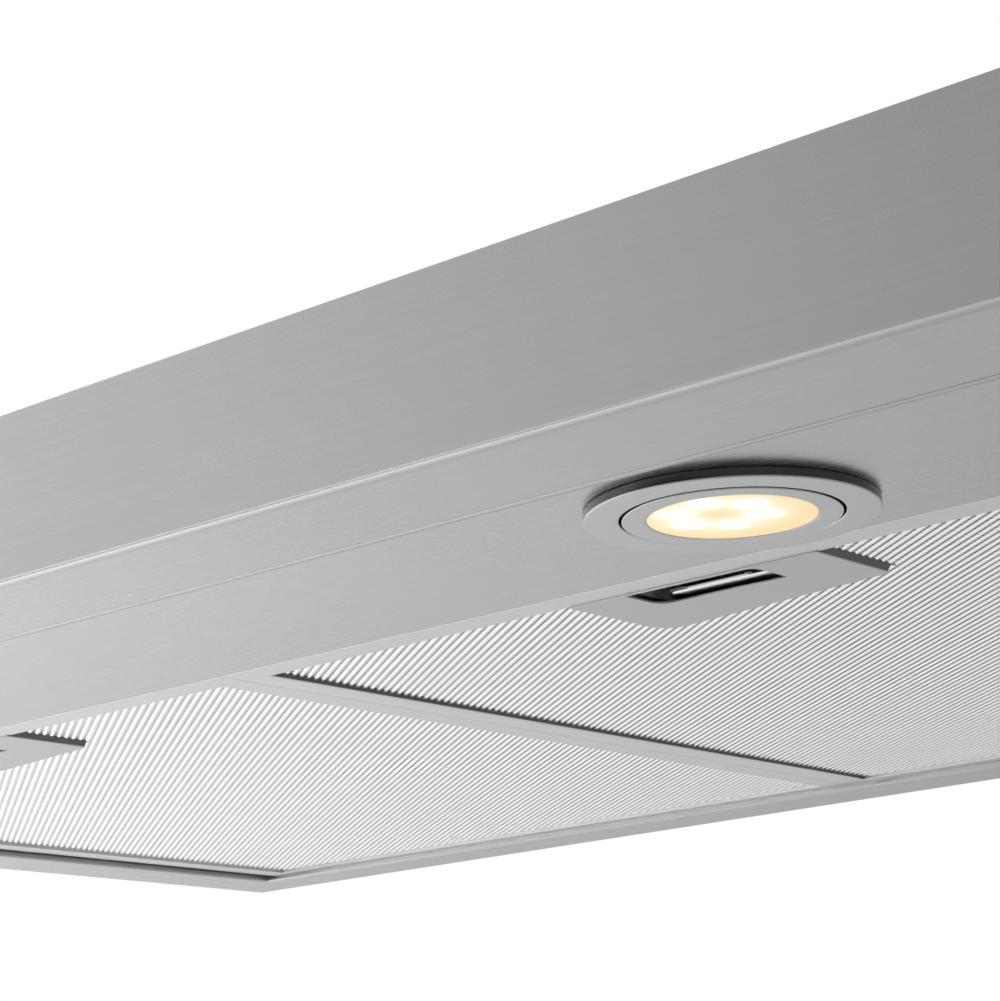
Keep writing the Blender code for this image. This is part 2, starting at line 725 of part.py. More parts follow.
def impeller(name, side):
    """A squirrel cage wheel: a back disc with its hub, forward-curved blades and an end ring."""
    axis = Vector((0, AXIS_Y, AXIS_Z))

    def along(distance):
        return axis + Vector((side * (WHEEL_X + distance), 0, 0))

    wheel = cylinder(name, along(0), along(2 * MM), WHEEL_R, BLACK, segments=48, origin=along(0))
    hub = cylinder(name + "_hub", along(-3 * MM), along(16 * MM), 9 * MM, segments=24)
    bm = bmesh.new()
    size = (WHEEL_LENGTH - 2 * MM, 8.5 * MM, 1.2 * MM)
    for i in range(BLADES):
        spin = Matrix.Rotation(math.tau * i / BLADES, 4, "X")
        out = Matrix.Translation((0, WHEEL_R - 5.2 * MM, 0))
        lean = Matrix.Rotation(math.radians(-32), 4, "X")
        place = Matrix.Translation(along(WHEEL_LENGTH / 2)) @ spin @ out @ lean
        bmesh.ops.create_cube(bm, size=1, matrix=place @ Matrix.Diagonal((*size, 1)))
    blades = add_object(name + "_blades", bm, along(0))
    band = 2.5 * MM
    ring = cylinder(name + "_ring", along(WHEEL_LENGTH - band), along(WHEEL_LENGTH), WHEEL_R, segments=48)
    hole = cylinder(name + "_hole", along(-20 * MM), along(WHEEL_LENGTH * 2), WHEEL_R - 9.6 * MM, segments=48)
    bore = cylinder(name + "_bore", along(-20 * MM), along(60 * MM), SHAFT_R + GAP, segments=24)
    cut(ring, hole)
    join(wheel, hub, blades, ring)
    return cut(wheel, bore)


def motor():
    axis = Vector((0, AXIS_Y, AXIS_Z))
    reach, boss = 22 * MM, 25.5 * MM
    bore = BEARING_R + GAP
    profile = (
        (bore, boss),
        (16 * MM, boss),
        (16 * MM, reach),
        (MOTOR_R - 3 * MM, reach),
        (MOTOR_R, reach - 3 * MM),
        (MOTOR_R, -reach + 3 * MM),
        (MOTOR_R - 3 * MM, -reach),
        (16 * MM, -reach),
        (16 * MM, -boss),
        (bore, -boss),
    )
    turned("motor_housing", profile, axis, (1, 0, 0), PAINT)
    for word, side in (("left", -1), ("right", 1)):
        race = (
            (BEARING_R, 24.5 * MM),
            (BEARING_R, 17 * MM),
            (SHAFT_R + GAP, 17 * MM),
            (SHAFT_R + GAP, 24.5 * MM),
        )
        turned("motor_bearing_" + word, race, axis, (side, 0, 0), ZINC, steps=32)
    half = Vector((WHEEL_X + 14 * MM, 0, 0))
    cylinder("motor_shaft", axis - half, axis + half, SHAFT_R, ZINC, segments=24)


def bracket_screw_places():
    return (AXIS_Y - MOTOR_R - 8.5 * MM, AXIS_Y + MOTOR_R + 8.5 * MM)


def motor_bracket():
    reach = MOTOR_R + GAP
    flange = 16 * MM
    half = 18 * MM
    thickness = 1.5 * MM
    corners = [
        (AXIS_Y - reach - flange, UNDER_TOP_Z),
        (AXIS_Y - reach, UNDER_TOP_Z),
        (AXIS_Y - reach, AXIS_Z - reach),
        (AXIS_Y + reach, AXIS_Z - reach),
        (AXIS_Y + reach, UNDER_TOP_Z),
        (AXIS_Y + reach + flange, UNDER_TOP_Z),
    ]
    strap = folded("motor_bracket", corners, "X", -half, half, thickness, ZINC)
    head_z = UNDER_TOP_Z - thickness - GAP
    for word, y in zip(("front", "rear"), bracket_screw_places()):
        cut(strap, cylinder("bracket_hole", (0, y, -10 * MM), (0, y, 10 * MM), 2.4 * MM))
        name = "bracket_screw_" + word
        screw = cylinder(name, (0, y, head_z - 2.2 * MM), (0, y, head_z), 4 * MM, ZINC, segments=24)
        join(screw, cylinder(name + "_shank", (0, y, head_z - MM), (0, y, -0.2 * MM), 2 * MM, segments=24))


def run_capacitor():
    centre = Vector((0, -40 * MM, -18 * MM))
    half = Vector((21 * MM, 0, 0))
    can = cylinder("run_capacitor", centre - half, centre + half, 15 * MM, BLACK)
    for y in (-5 * MM, 5 * MM):
        place = centre + half + Vector((0, y, 0))
        blade = Vector((5 * MM, 0.4 * MM, 3 * MM))
        join(can, box("terminal", place - blade, place + blade))
    return can


def blower():
    for word, side in (("left", -1), ("right", 1)):
        blower_housing("blower_housing_" + word, side)
        inlet_ring("inlet_ring_" + word, side)
        impeller("impeller_" + word, side)
    motor()
    motor_bracket()
    run_capacitor()


# ---------------------------------------------------------------- duct collar and dampers

def duct_collar():
    half_x, half_y = DUCT_SIZE[0] / 2, DUCT_SIZE[1] / 2
    rim = DUCT_FLANGE
    collar = box(
        "duct_collar",
        (-half_x - rim, DUCT_Y - half_y - rim, GAP),
        (half_x + rim, DUCT_Y + half_y + rim, GAP + SHEET),
        ZINC,
    )
    tube = box(
        "collar_tube",
        (-half_x, DUCT_Y - half_y, GAP),
        (half_x, DUCT_Y + half_y, DUCT_HEIGHT),
    )
    bore = box(
        "collar_bore",
        (-half_x + SHEET, DUCT_Y - half_y + SHEET, -5 * MM),
        (half_x - SHEET, DUCT_Y + half_y - SHEET, DUCT_HEIGHT + 5 * MM),
    )
    join(collar, tube)
    cut(collar, bore)
    for side in (-1, 1):
        wall_y = DUCT_Y + side * (half_y - SHEET / 2)
        low_y, high_y = sorted((wall_y, wall_y - side * 3.5 * MM))
        top_z = FLAP_Z - 0.8 * MM
        join(collar, box("flap_stop", (-15 * MM, low_y, top_z - 2 * MM), (15 * MM, high_y, top_z)))
        y = DUCT_Y + side * FLAP_OFFSET
        far = half_x + 10 * MM
        cut(collar, cylinder("rod_cutter", (-far, y, FLAP_Z), (far, y, FLAP_Z), ROD_R + GAP, segments=24))
    return collar


def damper(word, side):
    """One flap with a knuckle along its inner edge, and the rod that it turns on."""
    y = DUCT_Y + side * FLAP_OFFSET
    axis = Vector((0, y, FLAP_Z))
    half_x = DUCT_SIZE[0] / 2 - SHEET - 1.0 * MM
    knuckle_r = ROD_R + 1.1 * MM
    far_y = DUCT_Y + side * (DUCT_SIZE[1] / 2 - SHEET - 0.8 * MM)
    low_y, high_y = sorted((y + side * (ROD_R + GAP), far_y))
    flap = box(
        "damper_flap_" + word,
        (-half_x, low_y, FLAP_Z - 0.4 * MM),
        (half_x, high_y, FLAP_Z + 0.4 * MM),
        ZINC,
        origin=axis,
    )
    along = Vector((half_x, 0, 0))
    join(flap, cylinder("knuckle", axis - along, axis + along, knuckle_r, segments=24))
    cut(flap, cylinder("knuckle_bore", axis - along * 2, axis + along * 2, ROD_R + GAP, segments=24))
    reach = Vector((DUCT_SIZE[0] / 2 + 2 * MM, 0, 0))
    cylinder("damper_rod_" + word, axis - reach, axis + reach, ROD_R, ZINC, segments=24, origin=axis)


# ---------------------------------------------------------------- controls

def control_panel():
    half_x, half_z = BEZEL_SIZE[0] / 2, BEZEL_SIZE[1] / 2
    bezel = box(
        "control_bezel",
        (PANEL_X - half_x, BEZEL_FRONT_Y, PANEL_Z - half_z),
        (PANEL_X + half_x, FRONT_Y - GAP, PANEL_Z + half_z),
        BLACK,
    )
    spigot_back_y = FRONT_Y + 7.5 * MM
    half_x, half_z = BEZEL_SPIGOT[0] / 2, BEZEL_SPIGOT[1] / 2
    spigot = box(
        "bezel_spigot",
        (PANEL_X - half_x, BEZEL_FRONT_Y + MM, PANEL_Z - half_z),
        (PANEL_X + half_x, spigot_back_y, PANEL_Z + half_z),
    )
    join(bezel, spigot)
    for i, word in enumerate(BUTTON_NAMES):
        x = PANEL_X + (i - 2) * BUTTON_PITCH
        cut(bezel, button("button_" + word, x))
    switch_housing(spigot_back_y + GAP)


def button(name, x):
    """A push button, and back comes the cutter of its window in the bezel."""
    half_x, half_z = BUTTON_SIZE[0] / 2, BUTTON_SIZE[1] / 2
    front = BEZEL_FRONT_Y - 2.5 * MM
    back = front + 10 * MM
    cap = box(
        name,
        (x - half_x, front, PANEL_Z - half_z),
        (x + half_x, back, PANEL_Z + half_z),
        SATIN,
        origin=(x, front, PANEL_Z),
    )
    stem = box(
        name + "_stem",
        (x - 4 * MM, back - MM, PANEL_Z - 2.5 * MM),
        (x + 4 * MM, back + 8.6 * MM, PANEL_Z + 2.5 * MM),
    )
    join(cap, stem)
    return box(
        name + "_window",
        (x - half_x - GAP, front - 5 * MM, PANEL_Z - half_z - GAP),
        (x + half_x + GAP, back + 20 * MM, PANEL_Z + half_z + GAP),
    )


def switch_housing(front_y):
    half = Vector((63 * MM, 0, 10.5 * MM))
    depth = 20 * MM
    low = Vector((PANEL_X, front_y, PANEL_Z)) - half
    high = Vector((PANEL_X, front_y + depth, PANEL_Z)) + half
    case = box("switch_housing", low, high, BLACK)
    wall = Vector((WALL, 0, WALL))
    past = Vector((0, 5 * MM, 0))
    inner_back = Vector((0, WALL, 0))
    cut(case, box("switch_hollow", low + wall - past, high - wall - inner_back))
    inset = Vector((GAP, 0, GAP))
    board_low = low + wall + inset + Vector((0, depth - WALL - 2 * MM, 0))
    board_high = high - wall - inset - Vector((0, WALL + GAP, 0))
    board = box("switch_board", board_low, board_high, BOARD)
    for i in range(len(BUTTON_NAMES)):
        place = Vector((PANEL_X + (i - 2) * BUTTON_PITCH, board_low.y, PANEL_Z))
        size = Vector((5 * MM, 0, 4 * MM))
        key_low = place - size - Vector((0, 5 * MM, 0))
        join(board, box("switch_key", key_low, place + size + Vector((0, MM, 0))))


# ---------------------------------------------------------------- wiring

def junction_box():
    half_x, half_y, height = BOX_SIZE[0] / 2, BOX_SIZE[1] / 2, BOX_SIZE[2]
    top_z = UNDER_TOP_Z
    low_z = top_z - height
    case = box(
        "junction_box",
        (BOX_X - half_x, BOX_Y - half_y, low_z),
        (BOX_X + half_x, BOX_Y + half_y, top_z),
        ZINC,
    )
    hollow = box(
        "junction_hollow",
        (BOX_X - half_x + SHEET, BOX_Y - half_y + SHEET, low_z - 5 * MM),
        (BOX_X + half_x - SHEET, BOX_Y + half_y - SHEET, top_z - SHEET),
    )
    wire = (BOX_X, BOX_Y)
    entry = cylinder("entry_cutter", (*wire, top_z - 5 * MM), (*wire, 5 * MM), WIRE_HOLE_R)
    screw_x = BOX_X + half_x - 7 * MM
    post = box(
        "screw_post",
        (screw_x - 4 * MM, BOX_Y - 4 * MM, low_z),
        (BOX_X + half_x - SHEET / 2, BOX_Y + 4 * MM, low_z + 14 * MM),
    )
    hole_low = (screw_x, BOX_Y, low_z - 5 * MM)
    hole_high = (screw_x, BOX_Y, low_z + 10 * MM)
    thread = cylinder("thread_cutter", hole_low, hole_high, 2.3 * MM)
    cut(case, hollow, entry)
    join(case, post)
    cut(case, thread)
    cover_z = low_z - GAP
    cover = box(
        "junction_cover",
        (BOX_X - half_x - MM, BOX_Y - half_y - MM, cover_z - SHEET),
        (BOX_X + half_x + MM, BOX_Y + half_y + MM, cover_z),
        ZINC,
    )
    hole_low = (screw_x, BOX_Y, cover_z - 5 * MM)
    hole_high = (screw_x, BOX_Y, cover_z + MM)
    cut(cover, cylinder("cover_hole", hole_low, hole_high, 2.3 * MM))
    head_z = cover_z - SHEET - GAP
    start, under = (screw_x, BOX_Y, head_z - 2.2 * MM), (screw_x, BOX_Y, head_z)
    screw = cylinder("cover_screw", start, under, 4 * MM, ZINC, segments=24)
    shank_low = (screw_x, BOX_Y, head_z - MM)
    shank_high = (screw_x, BOX_Y, low_z + 8 * MM)
    shank = cylinder("cover_shank", shank_low, shank_high, 2 * MM, segments=24)
    join(screw, shank)


def led_driver():
    low = Vector((150 * MM, -120 * MM, UNDER_TOP_Z - 26 * MM))
    high = Vector((240 * MM, -75 * MM, UNDER_TOP_Z - SHEET))
    driver = box("led_driver", low, high, BLACK)
    ears = box(
        "driver_ears",
        (low.x - 10 * MM, low.y + 8 * MM, UNDER_TOP_Z - 3 * MM),
        (high.x + 10 * MM, high.y - 8 * MM, UNDER_TOP_Z),
    )
    return join(driver, ears)


shell()
filters()
lamp("left", -1)
lamp("right", 1)
blower()
duct_collar()
damper("front", -1)
damper("rear", 1)
control_panel()
junction_box()
led_driver()
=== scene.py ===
"""Looks of the under cabinet range hood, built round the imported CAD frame."""

import math

import bmesh
import bpy
from mathutils import Matrix, Vector


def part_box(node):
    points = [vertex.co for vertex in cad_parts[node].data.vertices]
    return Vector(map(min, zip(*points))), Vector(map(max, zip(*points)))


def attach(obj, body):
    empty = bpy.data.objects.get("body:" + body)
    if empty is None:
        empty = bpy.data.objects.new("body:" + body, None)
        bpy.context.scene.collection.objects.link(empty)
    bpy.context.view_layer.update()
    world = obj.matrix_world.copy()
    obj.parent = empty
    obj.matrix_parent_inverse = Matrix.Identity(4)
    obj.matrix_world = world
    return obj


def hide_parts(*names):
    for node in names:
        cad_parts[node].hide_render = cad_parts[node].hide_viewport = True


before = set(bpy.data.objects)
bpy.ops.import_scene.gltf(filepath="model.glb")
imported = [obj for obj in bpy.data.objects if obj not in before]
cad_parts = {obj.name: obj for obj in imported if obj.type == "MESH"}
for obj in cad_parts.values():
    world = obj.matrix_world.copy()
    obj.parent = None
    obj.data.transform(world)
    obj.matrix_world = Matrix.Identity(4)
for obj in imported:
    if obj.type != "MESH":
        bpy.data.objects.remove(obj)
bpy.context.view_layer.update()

MM = 0.001
SIDES = (("left", -1), ("right", 1))
SHOTS = bpy.context.scene.collection


def low_high(node):
    low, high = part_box(node)
    return Vector(low), Vector(high)


RIM_Z = low_high("side_panel_left")[0].z
STRIP_LOW, STRIP_HIGH = low_high("light_panel")
LAMP_PLACE = {word: (sum(low_high("lamp_ring_" + word), Vector()) / 2) for word, _ in SIDES}


# ---------------------------------------------------------------- materials

class Look:
    """A material whose colour, roughness and relief come from nodes."""

    def __init__(self, name, metallic=0.0, **fixed):
        self.material = bpy.data.materials.new(name)
        self.material.use_nodes = True
        self.tree = self.material.node_tree
        self.shader = self.tree.nodes["Principled BSDF"]
        self.shader.inputs["Metallic"].default_value = metallic
        for socket, value in fixed.items():
            self.shader.inputs[socket.replace("_", " ")].default_value = value
        self.coordinates = self.node("ShaderNodeTexCoord").outputs["Object"]
        self.normal = None

    def node(self, kind, **settings):
        made = self.tree.nodes.new(kind)
        for key, value in settings.items():
            if key[0].isupper():
                made.inputs[key.replace("_", " ")].default_value = value
            else:
                setattr(made, key, value)
        return made

    def link(self, source, target):
        self.tree.links.new(source, target)

    def noise(self, stretch=(1, 1, 1), scale=1.0, detail=3.0, roughness=0.5):
        mapping = self.node("ShaderNodeMapping", Scale=stretch)
        self.link(self.coordinates, mapping.inputs["Vector"])
        noise = self.node("ShaderNodeTexNoise", Scale=scale, Detail=detail, Roughness=roughness)
        self.link(mapping.outputs["Vector"], noise.inputs["Vector"])
        return noise.outputs["Fac"]

    def spread(self, value, low, high, source=(0.3, 0.7)):
        """The value carried from its own range to another."""
        ranged = self.node("ShaderNodeMapRange")
        for i, number in enumerate((*source, low, high), start=1):
            ranged.inputs[i].default_value = number
        self.link(value, ranged.inputs[0])
        return ranged.outputs[0]

    def math(self, operation, first, second):
        made = self.node("ShaderNodeMath", operation=operation)
        for socket, value in zip(made.inputs, (first, second)):
            if isinstance(value, (int, float)):
                socket.default_value = value
            else:
                self.link(value, socket)
        return made.outputs[0]

    def colour(self, value, dark, light):
        mixed = self.node("ShaderNodeMix", data_type="RGBA")
        self.link(value, mixed.inputs["Factor"])
        mixed.inputs["A"].default_value = (*dark, 1)
        mixed.inputs["B"].default_value = (*light, 1)
        self.link(mixed.outputs["Result"], self.shader.inputs["Base Color"])

    def rough(self, value):
        self.link(value, self.shader.inputs["Roughness"])

    def relief(self, value, depth, strength=1.0):
        bump = self.node("ShaderNodeBump", Strength=strength, Distance=depth)
        self.link(value, bump.inputs["Height"])
        if self.normal is not None:
            self.link(self.normal, bump.inputs["Normal"])
        self.normal = bump.outputs["Normal"]
        self.link(self.normal, self.shader.inputs["Normal"])


def grey(value, tint=(1.0, 1.0, 1.0)):
    return tuple(value * part for part in tint)


def brushed(name, along, tone=0.45, rough=(0.20, 0.32), grain=1.0):
    """Brushed sheet, its grain drawn along one axis of the object."""
    look = Look(name, metallic=1.0)
    fine = [3600.0] * 3
    fine["XYZ".index(along)] = 26.0
    broad = [700.0] * 3
    broad["XYZ".index(along)] = 5.0
    hairs = look.noise(fine, detail=4.0, roughness=0.65)
    bands = look.noise(broad, detail=2.0)
    cloud = look.noise((1, 1, 1), scale=7.0, detail=2.0)
    mixed = look.math("ADD", look.math("MULTIPLY", hairs, 0.65), look.math("MULTIPLY", bands, 0.35))
    look.colour(look.spread(mixed, 0, 1), grey(tone * 0.965), grey(tone * 1.03))
    worn = look.math("ADD", look.math("MULTIPLY", mixed, 0.7), look.math("MULTIPLY", cloud, 0.3))
    look.rough(look.spread(worn, *rough))
    look.relief(hairs, 0.000007 * grain)
    look.relief(bands, 0.000011 * grain)
    return look.material


def satin(name, tone, rough=(0.30, 0.42), tint=(1, 1, 1), metallic=1.0, speck=900.0, tooth_depth=0.000004):
    """Plated or anodised metal with a fine even tooth."""
    look = Look(name, metallic=metallic)
    tooth = look.noise(scale=speck * 3, detail=3.0)
    cloud = look.noise(scale=18.0, detail=3.0)
    both = look.math("ADD", look.math("MULTIPLY", tooth, 0.5), look.math("MULTIPLY", cloud, 0.5))
    look.colour(look.spread(both, 0, 1), grey(tone * 0.95, tint), grey(tone * 1.04, tint))
    look.rough(look.spread(both, *rough))
    look.relief(tooth, tooth_depth)
    return look.material


def zinc_plate(name="zinc_plated_sheet"):
    look = Look(name, metallic=1.0)
    mapping = look.node("ShaderNodeMapping", Scale=(90, 90, 90))
    look.link(look.coordinates, mapping.inputs["Vector"])
    cells = look.node("ShaderNodeTexVoronoi", Scale=1.0, feature="F1")
    look.link(mapping.outputs["Vector"], cells.inputs["Vector"])
    shade = look.node("ShaderNodeSeparateColor")
    look.link(cells.outputs["Color"], shade.inputs[0])
    spangle = shade.outputs[0]
    scratches = look.noise((40, 900, 900), detail=2.0)
    both = look.math("ADD", look.math("MULTIPLY", spangle, 0.6), look.math("MULTIPLY", scratches, 0.4))
    look.colour(both, (0.40, 0.41, 0.43), (0.60, 0.61, 0.62))
    look.rough(look.spread(both, 0.34, 0.55, source=(0, 1)))
    look.relief(scratches, 0.00002)
    return look.material


def chrome(name, tone=0.86):
    look = Look(name, metallic=1.0)
    smear = look.noise((30, 400, 400), detail=3.0)
    look.colour(look.spread(smear, 0, 1), grey(tone * 0.92), grey(tone))
    look.rough(look.spread(smear, 0.05, 0.12))
    look.relief(smear, 0.000008)
    return look.material


def moulded(name, colour, rough=(0.42, 0.6), grain=0.00003, size=1500.0):
    """Moulded plastic with a spark-eroded texture."""
    look = Look(name, Specular_IOR_Level=0.45)
    tooth = look.noise(scale=size, detail=2.0)
    cloud = look.noise(scale=25.0, detail=3.0)
    look.colour(look.spread(cloud, 0, 1), tuple(c * 0.85 for c in colour), tuple(c * 1.12 for c in colour))
    look.rough(look.spread(tooth, *rough))
    look.relief(tooth, grain)
    return look.material


def painted(name, colour):
    look = Look(name, metallic=0.0, Coat_Weight=0.35, Coat_Roughness=0.25)
    peel = look.noise(scale=420.0, detail=2.0)
    dust = look.noise(scale=30.0, detail=4.0)
    look.colour(look.spread(dust, 0, 1), colour, tuple(c * 1.5 + 0.01 for c in colour))
    look.rough(look.spread(dust, 0.38, 0.6))
    look.relief(peel, 0.00004)
    return look.material


def expanded_pad(name):
    """What shows behind the front sheet: more layers of the same mesh, out of step."""
    look = Look(name, metallic=1.0)
    layers = []
    for turn, shift in ((0.0, 0.0), (0.09, 0.0013)):
        mapping = look.node("ShaderNodeMapping", Rotation=(0, 0, turn), Location=(shift, shift, 0))
        mapping.inputs["Scale"].default_value = (math.tau / MESH_X, math.tau / MESH_Y, 1.0)
        look.link(look.coordinates, mapping.inputs["Vector"])
        parts = look.node("ShaderNodeSeparateXYZ")
        look.link(mapping.outputs["Vector"], parts.inputs[0])
        waves = [look.node("ShaderNodeMath", operation="COSINE") for _ in range(2)]
        for wave, axis in zip(waves, parts.outputs):
            look.link(axis, wave.inputs[0])
        layers.append(look.math("MULTIPLY", waves[0].outputs[0], waves[1].outputs[0]))
    both = look.math("ADD", layers[0], layers[1])
    height = look.spread(both, 0, 1, source=(-1.2, 1.2))
    cloud = look.noise(scale=16.0, detail=3.0)
    shade = look.math("ADD", look.math("MULTIPLY", height, 0.8), look.math("MULTIPLY", cloud, 0.2))
    # Colour follows the painted height: darker in the dips between the layers' strands, as painted shade,
    # lighter on their crowns.
    look.colour(shade, (0.70, 0.70, 0.70), (0.88, 0.88, 0.88))
    look.rough(look.spread(shade, 0.36, 0.52, source=(0, 1)))
    return look.material


def expanded_metal(name):
    """Aluminium sheet, its colour lighter on the crowns of its strands and darker between them: painted
    highlight and painted shade of the relief.
    """
    look = Look(name, metallic=1.0)
    parts = look.node("ShaderNodeSeparateXYZ")
    look.link(look.coordinates, parts.inputs[0])
    along = look.math("MULTIPLY", parts.outputs["X"], 1 / MESH_X)
    deep = look.math("MULTIPLY", parts.outputs["Y"], 1 / MESH_Y)
    across_rows = look.math("ADD", along, deep)
    along_rows = look.math("SUBTRACT", along, deep)
    ridges = look.math("COSINE", look.math("MULTIPLY", across_rows, math.tau), 0)
    beads = look.math("COSINE", look.math("MULTIPLY", along_rows, math.tau), 0)
    height = look.math("ADD", look.math("MULTIPLY", ridges, 0.72), look.math("MULTIPLY", beads, 0.28))
    cloud = look.noise(scale=14.0, detail=3.0)
    # Painted light: colour raised on the strand crowns as painted highlight and lowered between strands as
    # painted shade.
    crown_highlight_gap_shade = look.spread(height, 0, 0.92, source=(-0.45, 0.75))
    shade = look.math("ADD", crown_highlight_gap_shade, look.math("MULTIPLY", cloud, 0.08))
    look.colour(shade, (0.88, 0.88, 0.88), (0.99, 0.99, 0.99))
    look.rough(look.spread(cloud, 0.26, 0.36))
    return look.material


def lit_lens(name, centre):
    """Frosted glass lit from behind: a warm field with six brighter pools over the LEDs."""
    look = Look(name, metallic=0.0, Roughness=0.35, Specular_IOR_Level=0.3)

    def distance_to(point):
        away = look.node("ShaderNodeVectorMath", operation="DISTANCE")
        look.link(look.coordinates, away.inputs[0])
        away.inputs[1].default_value = point
        return away.outputs["Value"]

    pools = None
    for i in range(LED_COUNT):
        angle = math.tau * i / LED_COUNT + LED_TURN
        spot = centre + HOT_SPOT_SHIFT
        spot = spot + Vector((LED_CIRCLE * math.cos(angle), LED_CIRCLE * math.sin(angle), 0))
        pool = look.spread(distance_to(spot), 1, 0, source=(0.0020, 0.0078))
        pools = pool if pools is None else look.math("MAXIMUM", pools, pool)
    ringed = look.math("ABSOLUTE", look.math("SUBTRACT", distance_to(centre + HOT_SPOT_SHIFT), LED_CIRCLE), 0)
    halo = look.spread(ringed, 0.55, 0, source=(0.0, 0.011))
    glow_mask = look.math("MAXIMUM", pools, halo)
    frost = look.noise(scale=1400.0, detail=2.0)
    field = look.node("ShaderNodeValToRGB")
    ramp = field.color_ramp
    ramp.elements[0].color = (1.0, 0.67, 0.32, 1)
    ramp.elements[1].position = 0.9
    ramp.elements[1].color = (1.0, 0.98, 0.93, 1)
    middle = ramp.elements.new(0.45)
    middle.color = (1.0, 0.86, 0.60, 1)
    look.link(glow_mask, field.inputs["Fac"])
    look.link(field.outputs["Color"], look.shader.inputs["Emission Color"])
    bright = look.spread(pools, 0.80, 1.35, source=(0.2, 1))
    power = look.math("ADD", bright, look.math("MULTIPLY", frost, 0.05))
    look.link(power, look.shader.inputs["Emission Strength"])
    look.colour(frost, (0.20, 0.17, 0.12), (0.26, 0.23, 0.18))
    look.relief(frost, 0.00002)
    return look.material


def circuit_board(name):
    look = Look(name, Specular_IOR_Level=0.5)
    mapping = look.node("ShaderNodeMapping", Scale=(260, 260, 260))
    look.link(look.coordinates, mapping.inputs["Vector"])
    tracks = look.node("ShaderNodeTexVoronoi", Scale=1.0, feature="DISTANCE_TO_EDGE")
    look.link(mapping.outputs["Vector"], tracks.inputs["Vector"])
    lines = look.spread(tracks.outputs["Distance"], 0, 1, source=(0.03, 0.07))
    look.colour(lines, (0.66, 0.66, 0.60), (0.86, 0.87, 0.83))
    look.rough(look.spread(lines, 0.3, 0.45, source=(0, 1)))
    look.relief(lines, 0.00003)
    return look.material


# The expanded mesh of the filters: long and short pitch, then a strand's half width and where its
# bridges start, as shares of a cell, and how far its crown and its edges stand out
MESH_X = 4.6 * MM
MESH_Y = 3.27 * MM
STRAND_HALF = 0.31
BRIDGE_AT = 0.40
STRAND_CROWN = 0.50 * MM
STRAND_EDGE = 0.12 * MM

# Rails, latch plate with its slanted back edge, its slot and bar, and the front sheet
RAIL_WIDE = 11 * MM
RAIL_TALL = 9 * MM
PLATE_BACK_Y = LAMP_PLACE["right"].y + 100.6 * MM
PLATE_SKEW = 10.6 * MM
PLATE_SLOT = (20.2 * MM, 65.0 * MM)
SLOT_BACK_Y = LAMP_PLACE["right"].y + 72.2 * MM
BAR_HALF_LONG = 19.6 * MM
BAR_HALF_DEEP = 4.4 * MM
BAR_HALF_TALL = 1.9 * MM
BAR_TAPER = 0.13
BAR_SHIFT_X = -3.2 * MM
FRONT_SEAM_Y = low_high("front_panel")[0].y + 23 * MM
BACK_HEM_Y = low_high("back_panel")[1].y - 27.8 * MM

LED_COUNT = 6
LED_CIRCLE = 11 * MM
LED_TURN = math.radians(48)
HOT_SPOT_SHIFT = Vector((-0.3, -5.0, 0)) * MM

STEEL_X = brushed("brushed_steel_across", "X")
STEEL_Y = brushed("brushed_steel_deep", "Y")
RAIL_METAL = satin("anodised_rail", 0.62, rough=(0.34, 0.46))
# Dark metal for the right rail's inner wall by the centre and for the latch plate's skirt: painted shade of
# those recesses.
RECESS_PAINTED_SHADE = satin("recess_painted_shade", 0.16, rough=(0.45, 0.60))
# Near-black metal for the trim ring's outer wall: painted shade standing in for the shadow band where the
# ring meets the light panel.
SHADOW_METAL = satin("ring_wall_painted_shade", 0.11, rough=(0.12, 0.2), tooth_depth=0.0)
# Dull dark metal for the strip behind the seam bead: painted shade of the gap where the front panel meets the
# light panel.
SEAM_PAINTED_SHADE = satin("seam_gap_painted_shade", 0.36, rough=(0.28, 0.36), tooth_depth=0.000001)
SHEET_METAL = expanded_metal("expanded_aluminium")
PAD_METAL = expanded_pad("filter_layers")
PLATE_METAL = satin("latch_plate_metal", 0.50, rough=(0.40, 0.50))
TRIM_METAL = satin("lamp_trim_nickel", 0.47, rough=(0.16, 0.25), tooth_depth=0.0000015)
CHROME = chrome("polished_chrome", tone=0.70)
WIRE = chrome("spring_wire", tone=0.6)
ZINC = zinc_plate()
CAST = satin("cast_aluminium", 0.5, rough=(0.45, 0.6), speck=300.0)
GROUND = satin("ground_steel", 0.55, rough=(0.15, 0.28))
HOUSING = moulded("housing_polymer", (0.30, 0.31, 0.32))
BLACK = moulded("black_polymer", (0.025, 0.025, 0.027))
BEZEL = moulded("bezel_polymer", (0.03, 0.03, 0.032), rough=(0.3, 0.42))
BUTTON = satin("button_satin", 0.62)
PAINT = painted("motor_enamel", (0.05, 0.052, 0.058))
BOARD = circuit_board("solder_mask")

